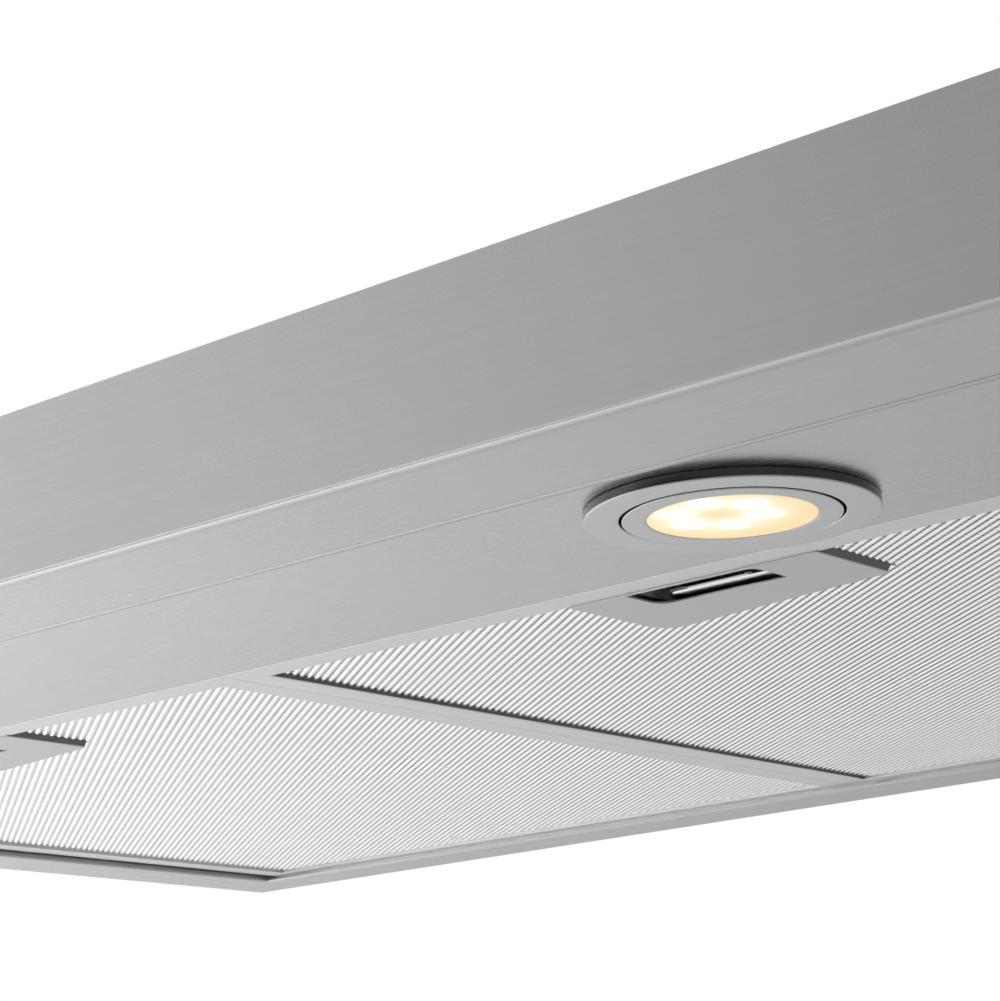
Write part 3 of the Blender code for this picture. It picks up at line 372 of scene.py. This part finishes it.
NODE_LOOKS = {
    "front_panel": STEEL_X, "light_panel": STEEL_X, "top_panel": STEEL_X, "back_panel": STEEL_X,
    "side_panel_left": STEEL_Y, "side_panel_right": STEEL_Y,
    "filter_frame_left": RAIL_METAL, "filter_frame_right": RAIL_METAL,
    "filter_mesh_left": PAD_METAL, "filter_mesh_right": PAD_METAL,
    "latch_plate_left": PLATE_METAL, "latch_plate_right": PLATE_METAL,
    "latch_slide_left": CHROME, "latch_slide_right": CHROME,
    "latch_spring_left": WIRE, "latch_spring_right": WIRE,
    "lamp_ring_left": TRIM_METAL, "lamp_ring_right": TRIM_METAL,
    "lamp_bezel_left": TRIM_METAL, "lamp_bezel_right": TRIM_METAL,
    "led_board_left": BOARD, "led_board_right": BOARD,
    "lamp_can_left": CAST, "lamp_can_right": CAST,
    "lamp_clip_left": ZINC, "lamp_clip_right": ZINC,
    "blower_housing_left": HOUSING, "blower_housing_right": HOUSING,
    "inlet_ring_left": ZINC, "inlet_ring_right": ZINC,
    "impeller_left": BLACK, "impeller_right": BLACK,
    "motor_bearing_left": GROUND, "motor_bearing_right": GROUND, "motor_shaft": GROUND,
    "motor_housing": PAINT, "motor_bracket": ZINC,
    "bracket_screw_front": ZINC, "bracket_screw_rear": ZINC,
    "run_capacitor": BLACK, "duct_collar": ZINC,
    "damper_flap_front": ZINC, "damper_flap_rear": ZINC,
    "damper_rod_front": GROUND, "damper_rod_rear": GROUND,
    "control_bezel": BEZEL, "switch_housing": BLACK, "switch_board": BOARD,
    "junction_box": ZINC, "junction_cover": ZINC, "cover_screw": ZINC, "led_driver": BLACK,
}


def paint_nodes():
    for name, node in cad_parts.items():
        look = NODE_LOOKS.get(name, BUTTON if name.startswith("button_") else None)
        if look is None:
            continue
        node.data.materials.clear()
        node.data.materials.append(look)


# ---------------------------------------------------------------- mesh helpers

def add_mesh(name, points, faces, look, body, replaces=()):
    mesh = bpy.data.meshes.new(name)
    mesh.from_pydata([tuple(p) for p in points], [], [tuple(f) for f in faces])
    return finish_piece(name, mesh, look, body, replaces)


def finish_piece(name, mesh, look, body, replaces=()):
    mesh.materials.append(look)
    piece = bpy.data.objects.new(name, mesh)
    SHOTS.objects.link(piece)
    mesh.shade_smooth()
    mesh.set_sharp_from_angle(angle=math.radians(32))
    even_shading(piece)
    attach(piece, body)
    if replaces:
        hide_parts(*replaces)
    return piece


def even_shading(piece):
    """Flat faces shade flat beside their rounded edges."""
    weighted = piece.modifiers.new("even_shading", "WEIGHTED_NORMAL")
    weighted.mode = "FACE_AREA"
    weighted.weight = 100
    weighted.keep_sharp = True


def rounded_profile(corners, radius, steps=5):
    """A closed profile with each corner rounded by an arc."""
    made = []
    count = len(corners)
    for i, corner in enumerate(corners):
        corner = Vector(corner)
        before = (Vector(corners[i - 1]) - corner)
        after = (Vector(corners[(i + 1) % count]) - corner)
        reach = min(radius, before.length * 0.45, after.length * 0.45)
        start, end = corner + before.normalized() * reach, corner + after.normalized() * reach
        for step in range(steps + 1):
            t = step / steps
            made.append(start * (1 - t) ** 2 + corner * 2 * t * (1 - t) + end * t * t)
    return made


def lathe(name, profile, centre, look, body, replaces=(), steps=144):
    """A closed (radius, height) profile turned about the vertical through centre."""
    points, faces = [], []
    count = len(profile)
    for i in range(steps):
        angle = math.tau * i / steps
        for radius, height in profile:
            points.append(centre + Vector((radius * math.cos(angle), radius * math.sin(angle), height)))
    for i in range(steps):
        for j in range(count):
            a, b = i * count + j, i * count + (j + 1) % count
            c, d = ((i + 1) % steps) * count + (j + 1) % count, ((i + 1) % steps) * count + j
            faces.append((a, b, c, d))
    piece = add_mesh(name, points, faces, look, body, replaces)
    bm = bmesh.new()
    bm.from_mesh(piece.data)
    bmesh.ops.recalc_face_normals(bm, faces=bm.faces)
    bm.to_mesh(piece.data)
    bm.free()
    return piece


# ---------------------------------------------------------------- filters

def expanded_sheet(word):
    """The filter's front sheet: rows of swaged strands that run aslant, tied by narrow bridges."""
    low, high = low_high("filter_mesh_" + word)
    plate_low, plate_high = low_high("latch_plate_" + word)
    z = low.z - 0.25 * MM
    margin = 0.2 * MM
    points, index, faces = [], {}, []

    def inside(x, y):
        if not (low.x + margin < x < high.x - margin and low.y + margin < y < high.y - margin):
            return False
        beside = plate_low.x + 0.8 * MM < x < plate_high.x - 0.2 * MM
        across = (x - plate_low.x) / (plate_high.x - plate_low.x)
        return not (beside and y < PLATE_BACK_Y - PLATE_SKEW * across - 0.4 * MM)

    def vertex(i, j, u, v, drop):
        """A point of cell (i, j): u runs along the row of strands, v across the rows."""
        key = (i, j, u, v)
        if key not in index:
            x = (i + u + j + v) * MESH_X / 2
            y = (j + v - i - u) * MESH_Y / 2
            index[key] = len(points) if inside(x, y) else None
            if index[key] is not None:
                points.append((x, y, z - drop))
        return index[key]

    def face(*corners):
        if None not in corners:
            faces.append(corners)

    reach_x, reach_y = MESH_X / 2, MESH_Y / 2
    first = int((low.x / reach_x - high.y / reach_y) / 2) - 1
    last = int((high.x / reach_x - low.y / reach_y) / 2) + 1
    for i in range(first, last + 1):
        for j in range(int(low.x / reach_x) - i - 1, int(high.x / reach_x) - i + 2):
            if not low.y - MESH_Y < (j - i) * reach_y < high.y + MESH_Y:
                continue
            crown = vertex(i, j, 0, 0, STRAND_CROWN)
            sides = [vertex(i, j, 0, v, STRAND_EDGE) for v in (-STRAND_HALF, STRAND_HALF)]
            near = [vertex(i, j, -BRIDGE_AT, v, 0) for v in (-STRAND_HALF, STRAND_HALF)]
            far = [vertex(i, j, BRIDGE_AT, v, 0) for v in (-STRAND_HALF, STRAND_HALF)]
            onward = [vertex(i + 1, j, -BRIDGE_AT, v, 0) for v in (-STRAND_HALF, STRAND_HALF)]
            beside = [
                vertex(i, j + 1, BRIDGE_AT, -STRAND_HALF, 0),
                vertex(i + 1, j + 1, -BRIDGE_AT, -STRAND_HALF, 0),
            ]
            for ends in (near, far):
                turn = 1 if ends is far else -1
                trios = ((crown, sides[0], ends[0]), (crown, ends[0], ends[1]), (crown, ends[1], sides[1]))
                for trio in trios:
                    face(*trio[::turn])
            face(far[0], onward[0], onward[1], far[1])
            face(far[1], onward[1], beside[1], beside[0])
    piece = add_mesh("front_sheet_" + word, points, faces, SHEET_METAL, "filter_" + word)
    tidy_normals(piece)
    return piece


def rail_profile():
    """(inset, height) round a rail: outer wall, rounded face, inner wall and its turned-in lip."""
    top = RAIL_TALL
    outer = [(0, top), (0, 0), (RAIL_WIDE, 0), (RAIL_WIDE, 1.75 * MM)]
    outer += [(RAIL_WIDE + 1.2 * MM, 1.75 * MM), (RAIL_WIDE + 1.2 * MM, 2.3 * MM)]
    outer.append((RAIL_WIDE - 0.5 * MM, 2.3 * MM))
    outer += [(RAIL_WIDE - 0.5 * MM, 0.7 * MM), (0.7 * MM, 0.7 * MM), (0.7 * MM, top)]
    return rounded_profile(outer, 0.35 * MM, 4)


def filter_rails(word, side):
    """Four mitred rails that frame a filter, drawn up to the strip and to the filter beside it."""
    low, high = low_high("filter_frame_" + word)
    face = STRIP_LOW.z
    front = STRIP_HIGH.y + 0.08 * MM
    centre_x = 0.04 * MM * side
    x0, x1 = (low.x, centre_x) if side < 0 else (centre_x, high.x)
    y0, y1 = front, high.y
    corners = [Vector((x0, y0)), Vector((x1, y0)), Vector((x1, y1)), Vector((x0, y1))]
    inwards = [Vector((1, 1)), Vector((-1, 1)), Vector((-1, -1)), Vector((1, -1))]
    profile = rail_profile()
    count = len(profile)
    points, faces = [], []
    mitre = 0.03 * MM
    for i in range(4):
        j = (i + 1) % 4
        along = (corners[j] - corners[i]).normalized()
        base = len(points)
        for corner, inward, shift in ((corners[i], inwards[i], mitre), (corners[j], inwards[j], -mitre)):
            for inset, height in profile:
                spot = corner + inward * inset + along * shift
                points.append((spot.x, spot.y, face + height))
        for k in range(count):
            faces.append((base + k, base + (k + 1) % count, base + count + (k + 1) % count, base + count + k))
        faces.append(tuple(base + k for k in reversed(range(count))))
        faces.append(tuple(base + count + k for k in range(count)))
    piece = add_mesh("mitred_rails_" + word, points, faces, RAIL_METAL, "filter_" + word,
                     ("filter_frame_" + word,))
    tidy_normals(piece)
    # The inner wall faces of the right filter's rail by the centre take the dark metal: painted shade in the
    # gap beside the right mesh.
    piece.data.materials.append(RECESS_PAINTED_SHADE)
    for face in piece.data.polygons:
        inner_wall = face.center.z > low.z + 0.45 * MM and face.center.z < low.z + 2.5 * MM
        inside = x0 + RAIL_WIDE * 0.9 < face.center.x < x1 - RAIL_WIDE * 0.9
        inside_y = y0 + RAIL_WIDE * 0.9 < face.center.y < y1 - RAIL_WIDE * 0.9
        at_centre = side > 0 and face.center.x < x0 + RAIL_WIDE * 1.3
        if inner_wall and inside and inside_y and at_centre:
            face.material_index = 1
    return piece


def tidy_normals(piece):
    bm = bmesh.new()
    bm.from_mesh(piece.data)
    bmesh.ops.recalc_face_normals(bm, faces=bm.faces)
    bm.to_mesh(piece.data)
    bm.free()


def rounded_rectangle(x0, y0, x1, y1, radii, steps=8):
    """Corners anticlockwise from the near left, each with its own radius."""
    made = []
    turns = ((x0, y0, 1, 1, 180), (x1, y0, -1, 1, 270), (x1, y1, -1, -1, 0), (x0, y1, 1, -1, 90))
    for (x, y, sx, sy, first), radius in zip(turns, radii):
        for i in range(steps + 1):
            angle = math.radians(first + 90 * i / steps)
            across, deep = math.cos(angle), math.sin(angle)
            made.append((x + sx * radius + radius * across, y + sy * radius + radius * deep))
    return made


def filled_outline(outlines, thickness, soft):
    """A flat plate with rounded edges from an outline and its holes, as a new mesh."""
    curve = bpy.data.curves.new("outline", "CURVE")
    curve.dimensions = "2D"
    curve.fill_mode = "BOTH"
    curve.extrude = thickness / 2 - soft
    curve.bevel_depth = soft
    curve.bevel_resolution = 3
    for outline in outlines:
        spline = curve.splines.new("POLY")
        spline.points.add(len(outline) - 1)
        for point, place in zip(spline.points, outline):
            point.co = (*place, 0, 1)
        spline.use_cyclic_u = True
    holder = bpy.data.objects.new("outline", curve)
    mesh = bpy.data.meshes.new_from_object(holder)
    bpy.data.objects.remove(holder)
    bpy.data.curves.remove(curve)
    return mesh


def skewed(outline, x0, x1, y0, y1):
    """The outline with its far edge drawn nearer towards the right."""
    span = (x1 - x0) * (y1 - y0)
    return [(x, y - PLATE_SKEW * (x - x0) * (y - y0) / span) for x, y in outline]


def latch_plate(word):
    """The pressed plate: flat face with its slot, and the skirt that falls back to the mesh."""
    low, high = low_high("latch_plate_" + word)
    x0, x1 = low.x + 0.1 * MM, high.x - 1.9 * MM
    y0, y1 = STRIP_HIGH.y + RAIL_WIDE - 0.6 * MM, PLATE_BACK_Y
    z = min(low.z, STRIP_LOW.z - 0.35 * MM) + 0.2 * MM
    soft = 0.25 * MM
    face = rounded_rectangle(x0 + soft, y0, x1 - soft, y1 - soft, (0.4 * MM, 0.4 * MM, 2.0 * MM, 8.5 * MM))
    slot_x = (x0 + PLATE_SLOT[0], x0 + PLATE_SLOT[1])
    slot = rounded_rectangle(slot_x[0] - soft, y0 + 0.5 * MM, slot_x[1] + soft, SLOT_BACK_Y + soft,
                             (0.5 * MM, 3.5 * MM, 0.6 * MM, 5.5 * MM), 10)
    face = skewed(face, x0, x1, y0, y1)
    mesh = filled_outline([face, slot[::-1]], 0.75 * MM, soft)
    for vertex in mesh.vertices:
        vertex.co.z += z
    bm = bmesh.new()
    bm.from_mesh(mesh)
    rim = rounded_rectangle(x0, y0 - 0.2 * MM, x1, y1, (0.4 * MM, 0.4 * MM, 2.2 * MM, 8.7 * MM))
    skirt = rounded_rectangle(x0 - 0.4 * MM, y0 - 0.2 * MM, x1 + 1.6 * MM, y1 + 0.5 * MM,
                              (0.4 * MM, 0.4 * MM, 3.0 * MM, 9.2 * MM))
    levels = ((skewed(rim, x0, x1, y0, y1), 0.0), (skewed(skirt, x0, x1, y0, y1), 2.3 * MM))
    loops = [[bm.verts.new((x, y, z + lift)) for x, y in outline] for outline, lift in levels]
    # The skirt walls take the dark metal: painted shade on the skirt that falls back to the mesh.
    for i in range(len(rim)):
        j = (i + 1) % len(rim)
        wall = bm.faces.new((loops[0][i], loops[0][j], loops[1][j], loops[1][i]))
        wall.material_index = 1
    bm.to_mesh(mesh)
    bm.free()
    piece = finish_piece("pressed_plate_" + word, mesh, PLATE_METAL, "filter_" + word,
                         ("latch_plate_" + word,))
    piece.data.materials.append(RECESS_PAINTED_SHADE)
    return piece


def latch_bar(word):
    """The chromed pull bar, full-bodied with bullet ends, on its slider and bolt."""
    low, high = low_high("latch_slide_" + word)
    plate_low, _ = low_high("latch_plate_" + word)
    middle_x = (low.x + high.x) / 2 + BAR_SHIFT_X
    middle_y = SLOT_BACK_Y + 4.0 * MM
    middle_z = plate_low.z + 0.95 * MM + BAR_HALF_TALL
    points, faces = [], []
    stations, around = 44, 40
    for i in range(stations + 1):
        t = math.cos(math.pi * i / stations)
        end = 1 - abs(t)
        size = min(1.0, math.sqrt(max(0.0, 1 - max(0.0, 1 - end / BAR_TAPER) ** 2.2)))
        for j in range(around):
            angle = math.tau * j / around
            points.append((
                middle_x - BAR_HALF_LONG * t,
                middle_y + size * BAR_HALF_DEEP * math.cos(angle),
                middle_z + size * BAR_HALF_TALL * math.sin(angle),
            ))
    for i in range(stations):
        for j in range(around):
            k = (j + 1) % around
            faces.append((i * around + j, i * around + k, (i + 1) * around + k, (i + 1) * around + j))
    piece = add_mesh("pull_bar_" + word, points, faces, CHROME, "latch_" + word,
                     ("latch_slide_" + word,))
    bm = bmesh.new()
    bm.from_mesh(piece.data)
    bmesh.ops.remove_doubles(bm, verts=bm.verts, dist=0.01 * MM)
    slide_z = high.z - 1.7 * MM
    slider = (14 * MM, middle_y, high.y, slide_z)
    bolt = (11 * MM, low.y, middle_y, slide_z - 0.2 * MM)
    for half_x, y0, y1, z0 in (slider, bolt):
        made = bmesh.ops.create_cube(bm, size=1.0)["verts"]
        for vertex in made:
            vertex.co.x = middle_x + vertex.co.x * 2 * half_x
            vertex.co.y = y0 + (vertex.co.y + 0.5) * (y1 - y0)
            vertex.co.z = z0 + (vertex.co.z + 0.5) * 1.4 * MM
        edges = list({edge for vertex in made for edge in vertex.link_edges})
        bmesh.ops.bevel(bm, geom=edges, offset=0.25 * MM, segments=2, affect="EDGES")
    bmesh.ops.recalc_face_normals(bm, faces=bm.faces)
    bm.to_mesh(piece.data)
    bm.free()
    piece.data.shade_smooth()
    piece.data.set_sharp_from_angle(angle=math.radians(40))


# ---------------------------------------------------------------- lamps

def lamp(word):
    """Trim ring, bezel and lens of one lamp, finer than the CAD pieces they stand for."""
    place = LAMP_PLACE[word]
    centre = Vector((place.x, place.y, RIM_Z))
    step = STRIP_LOW.z - RIM_Z
    ring = [
        (32.5 * MM, 16 * MM), (32.5 * MM, step + 0.02 * MM), (37.5 * MM, step + 0.02 * MM),
        (37.5 * MM, 0.0), (28.5 * MM, 0.0), (28.5 * MM, 16 * MM),
    ]
    trim = lathe("trim_ring_" + word, rounded_profile(ring, 0.5 * MM), centre, TRIM_METAL, "hood",
                 ("lamp_ring_" + word,))
    # The ring's outer wall above its rounded lower edge takes the near-black metal: painted shade, the same
    # all round.
    trim.data.materials.append(SHADOW_METAL)
    for face in trim.data.polygons:
        away = face.center - centre
        outer = math.hypot(away.x, away.y) > 37.2 * MM
        if outer and away.z > 0.55 * MM:
            face.material_index = 1
    bezel = [
        (27.9 * MM, 10 * MM), (27.9 * MM, -0.25 * MM), (22.4 * MM, -0.2 * MM), (21.5 * MM, -0.05 * MM),
        (21.5 * MM, 1.6 * MM), (24.5 * MM, 1.6 * MM), (24.5 * MM, 10 * MM),
    ]
    lathe("inner_bezel_" + word, rounded_profile(bezel, 0.3 * MM), centre, TRIM_METAL, "hood",
          ("lamp_bezel_" + word,))
    lens_face = centre + Vector((0, 0, 0.2 * MM))
    dome = [(0.05 * MM, 3.6 * MM), (24.2 * MM, 3.6 * MM), (24.2 * MM, 1.9 * MM), (21.46 * MM, 1.9 * MM)]
    dome += [(21.46 * MM, 0.12 * MM), (21.3 * MM, 0.06 * MM)]
    for i in range(14):
        share = (13 - i) / 14
        dome.append((21.1 * MM * share + 0.05 * MM, (0.02 + 0.03 * share ** 3) * MM))
    lathe("lens_disc_" + word, dome, centre, lit_lens("lit_lens_" + word, lens_face), "hood",
          ("lamp_lens_" + word,))


# ---------------------------------------------------------------- sheets

def arced(corners, radii, steps=8):
    """A path of corners with true arcs of the given radii at the inner ones."""
    made = [Vector(corners[0])]
    for i, radius in enumerate(radii, start=1):
        here, before, after = Vector(corners[i]), Vector(corners[i - 1]), Vector(corners[i + 1])
        to_before, to_after = (before - here).normalized(), (after - here).normalized()
        angle = to_before.angle(to_after)
        reach = radius / math.tan(angle / 2)
        centre = here + (to_before + to_after).normalized() * radius / math.sin(angle / 2)
        first, last = here + to_before * reach - centre, here + to_after * reach - centre
        for step in range(steps + 1):
            turn = first.lerp(last, step / steps).normalized() * radius
            made.append(centre + turn)
    made.append(Vector(corners[-1]))
    return made


def front_panel():
    """The front in one folded sheet: hem, chamfer, lip, sloping roof and top flange."""
    low, high = low_high("front_panel")
    window_low, window_high = low_high("control_bezel")
    front, seam = low.y, FRONT_SEAM_Y
    bend_z, lip_top_z = RIM_Z + 7.3 * MM, RIM_Z + 57.0 * MM
    roof_y, under_top = high.y - 12 * MM - 1.5 * MM, high.z
    corners = [
        (seam, RIM_Z + 9.7 * MM), (seam, RIM_Z), (front, bend_z), (front, lip_top_z),
        (roof_y + 1.5 * MM, under_top), (high.y, under_top),
    ]
    path = arced(corners, (0.5 * MM, 2.6 * MM, 0.9 * MM, 2.5 * MM))
    spigot = 5.5 * MM
    window_x = (window_low.x + spigot, window_high.x - spigot)
    window_z = (window_low.z + 4 * MM, window_high.z - 4 * MM)
    lip = [i for i, point in enumerate(path) if abs(point.x - front) < 0.001 * MM]
    at = lip[-1] if path[lip[-1]].y > path[lip[0]].y else lip[0]
    path[at:at] = [Vector((front, z)) for z in window_z]
    xs = [low.x, window_x[0], window_x[1], high.x]
    points = [(x, point.x, point.y) for x in xs for point in path]
    count = len(path)
    faces = []
    for column in range(3):
        for i in range(count - 1):
            middle_z = (path[i].y + path[i + 1].y) / 2
            on_lip = abs(path[i].x - front) + abs(path[i + 1].x - front) < 0.002 * MM
            if column == 1 and on_lip and window_z[0] < middle_z < window_z[1]:
                continue
            a, b = column * count + i, (column + 1) * count + i
            faces.append((a, b, b + 1, a + 1))
    piece = add_mesh("front_sheet", points, faces, STEEL_X, "hood", ("front_panel",))
    thicken(piece, 1.0 * MM)


def thicken(piece, sheet):
    piece.modifiers.remove(piece.modifiers["even_shading"])
    solid = piece.modifiers.new("sheet", "SOLIDIFY")
    solid.thickness = sheet
    solid.offset = -1
    solid.use_even_offset = True
    solid.use_quality_normals = True
    even_shading(piece)


def back_ledge():
    """The rest that closes the gap behind the filters."""
    frame_low, frame_high = low_high("filter_frame_left")
    _, right_high = low_high("filter_frame_right")
    y0, y1 = frame_high.y + 0.12 * MM, BACK_HEM_Y + 0.05 * MM
    z0, z1 = STRIP_LOW.z - 0.1 * MM, STRIP_LOW.z + 6 * MM
    profile = rounded_profile([(y0, z0), (y1, z0), (y1, z1), (y0, z1)], 0.3 * MM)
    xs = (frame_low.x, right_high.x)
    points = [(x, *point) for x in xs for point in profile]
    count = len(profile)
    faces = [(i, (i + 1) % count, count + (i + 1) % count, count + i) for i in range(count)]
    faces += [tuple(range(count))[::-1], tuple(range(count, 2 * count))]
    piece = add_mesh("rear_rest", points, faces, STEEL_X, "hood")
    tidy_normals(piece)


def seam_trim():
    """The bead, and behind it a dull strip whose colour is painted shade for the gap where the front panel
    meets the light panel.
    """
    low, high = low_high("front_panel")
    y = FRONT_SEAM_Y
    bead = [(y - 0.5 * MM, RIM_Z + 0.5 * MM), (y - 0.35 * MM, RIM_Z - 0.25 * MM)]
    bead.append((y + 0.35 * MM, RIM_Z - 0.3 * MM))
    strip = [(y + 0.45 * MM, RIM_Z + 0.1 * MM), (y + 2.6 * MM, RIM_Z + 0.1 * MM), (y + 2.8 * MM, STRIP_LOW.z)]
    profile = rounded_profile([*bead, *strip, (y - 0.5 * MM, STRIP_LOW.z)], 0.25 * MM, 4)
    count = len(profile)
    points = [(x, *point) for x in (low.x, high.x) for point in profile]
    faces = [(i, (i + 1) % count, count + (i + 1) % count, count + i) for i in range(count)]
    faces += [tuple(range(count))[::-1], tuple(range(count, 2 * count))]
    piece = add_mesh("seam_trim", points, faces, STEEL_X, "hood")
    tidy_normals(piece)
    piece.data.materials.append(SEAM_PAINTED_SHADE)
    # The strip behind the bead takes the dull metal: painted shade of the seam's gap.
    for face in piece.data.polygons:
        if y + 0.4 * MM < face.center.y and face.center.z < STRIP_LOW.z - 0.2 * MM:
            face.material_index = 1


def paint_floor():
    look = Look("pale_floor")
    cloud = look.noise(scale=0.8, detail=3.0)
    look.colour(look.spread(cloud, 0, 1), (0.69, 0.69, 0.69), (0.73, 0.73, 0.73))
    look.rough(look.spread(cloud, 0.6, 0.75))
    return look.material


# ---------------------------------------------------------------- studio

FLOOR_Z = RIM_Z - 0.75
WORLD_RANGE = (0.50, 1.12)


def studio():
    scene = bpy.context.scene
    scene.view_settings.view_transform = "Standard"
    mesh = bpy.data.meshes.new("studio_floor")
    half = 6.0
    corners = [(-half, -half, FLOOR_Z), (half, -half, FLOOR_Z), (half, half, FLOOR_Z), (-half, half, FLOOR_Z)]
    mesh.from_pydata(corners, [], [(0, 1, 2, 3)])
    mesh.materials.append(paint_floor())
    floor = bpy.data.objects.new("studio_floor", mesh)
    SHOTS.objects.link(floor)
    room_light(scene)
    softbox("softbox_left", (-3.0, 0.1, 0.8), (-2.8, -0.1, FLOOR_Z), 2.6, 106)
    softbox("softbox_front", (-1.45, -1.5, -0.2), (-1.4, -1.45, FLOOR_Z), 1.3, 17)
    softbox("softbox_above", (0.3, 0.9, 2.4), (0, 0.2, 0), 2.0, 16)



def room_light(scene):
    """White behind the object; for lighting, brighter to the left and dark by the camera."""
    world = bpy.data.worlds.new("studio")
    scene.world = world
    world.use_nodes = True
    tree = world.node_tree
    nodes, links = tree.nodes, tree.links
    backdrop = nodes["Background"]
    backdrop.inputs["Color"].default_value = (1, 1, 1, 1)
    backdrop.inputs["Strength"].default_value = 1.0
    soft = nodes.new("ShaderNodeBackground")
    soft.inputs["Color"].default_value = (0.985, 0.99, 1.0, 1)
    place = nodes.new("ShaderNodeTexCoord").outputs["Generated"]
    parts = nodes.new("ShaderNodeSeparateXYZ")
    links.new(place, parts.inputs[0])
    left = nodes.new("ShaderNodeMapRange")
    left.interpolation_type = "SMOOTHSTEP"
    for i, number in enumerate((-0.30, -0.88, *WORLD_RANGE), start=1):
        left.inputs[i].default_value = number
    links.new(parts.outputs["X"], left.inputs[0])
    facing = nodes.new("ShaderNodeVectorMath")
    facing.operation = "DOT_PRODUCT"
    links.new(place, facing.inputs[0])
    facing.inputs[1].default_value = Vector((0.80, -0.58, 0.10)).normalized()
    flag = nodes.new("ShaderNodeMapRange")
    flag.interpolation_type = "SMOOTHSTEP"
    for i, number in enumerate((0.45, 0.88, 1.0, 0.45), start=1):
        flag.inputs[i].default_value = number
    links.new(facing.outputs["Value"], flag.inputs[0])
    power = nodes.new("ShaderNodeMath")
    power.operation = "MULTIPLY"
    links.new(left.outputs[0], power.inputs[0])
    links.new(flag.outputs[0], power.inputs[1])
    links.new(power.outputs[0], soft.inputs["Strength"])
    path = nodes.new("ShaderNodeLightPath")
    mix = nodes.new("ShaderNodeMixShader")
    links.new(path.outputs["Is Camera Ray"], mix.inputs[0])
    links.new(soft.outputs[0], mix.inputs[1])
    links.new(backdrop.outputs[0], mix.inputs[2])
    links.new(mix.outputs[0], nodes["World Output"].inputs["Surface"])


def softbox(name, place, target, size, power):
    light = bpy.data.lights.new(name, "AREA")
    light.shape = "SQUARE"
    light.size = size
    light.energy = power
    lamp_object = bpy.data.objects.new(name, light)
    lamp_object.location = place
    lamp_object.rotation_euler = (Vector(target) - Vector(place)).to_track_quat("-Z", "Y").to_euler()
    lamp_object.visible_camera = False
    SHOTS.objects.link(lamp_object)


def camera():
    yaw, pitch, roll = (math.radians(angle) for angle in (40.77, 15.23, 2.17))
    ahead = Vector((-math.sin(yaw) * math.cos(pitch), math.cos(yaw) * math.cos(pitch), math.sin(pitch)))
    level = Vector((math.cos(yaw), math.sin(yaw), 0))
    down = ahead.cross(level)
    right = level * math.cos(roll) + down * math.sin(roll)
    below = down * math.cos(roll) - level * math.sin(roll)
    lens = bpy.data.cameras.new("camera")
    lens.sensor_width = 36
    lens.lens = 95.97
    lens.clip_start = 0.02
    shot = bpy.data.objects.new("camera", lens)
    turn = Matrix((right, -below, -ahead)).transposed().to_4x4()
    place = Vector((0.6142, LAMP_PLACE["right"].y - 0.5288, RIM_Z - 0.16975))
    shot.matrix_world = Matrix.Translation(place) @ turn
    SHOTS.objects.link(shot)
    bpy.context.scene.camera = shot


paint_nodes()
front_panel()
seam_trim()
back_ledge()
for side_word, side_sign in SIDES:
    expanded_sheet(side_word)
    filter_rails(side_word, side_sign)
    latch_plate(side_word)
    latch_bar(side_word)
    lamp(side_word)
studio()
camera()
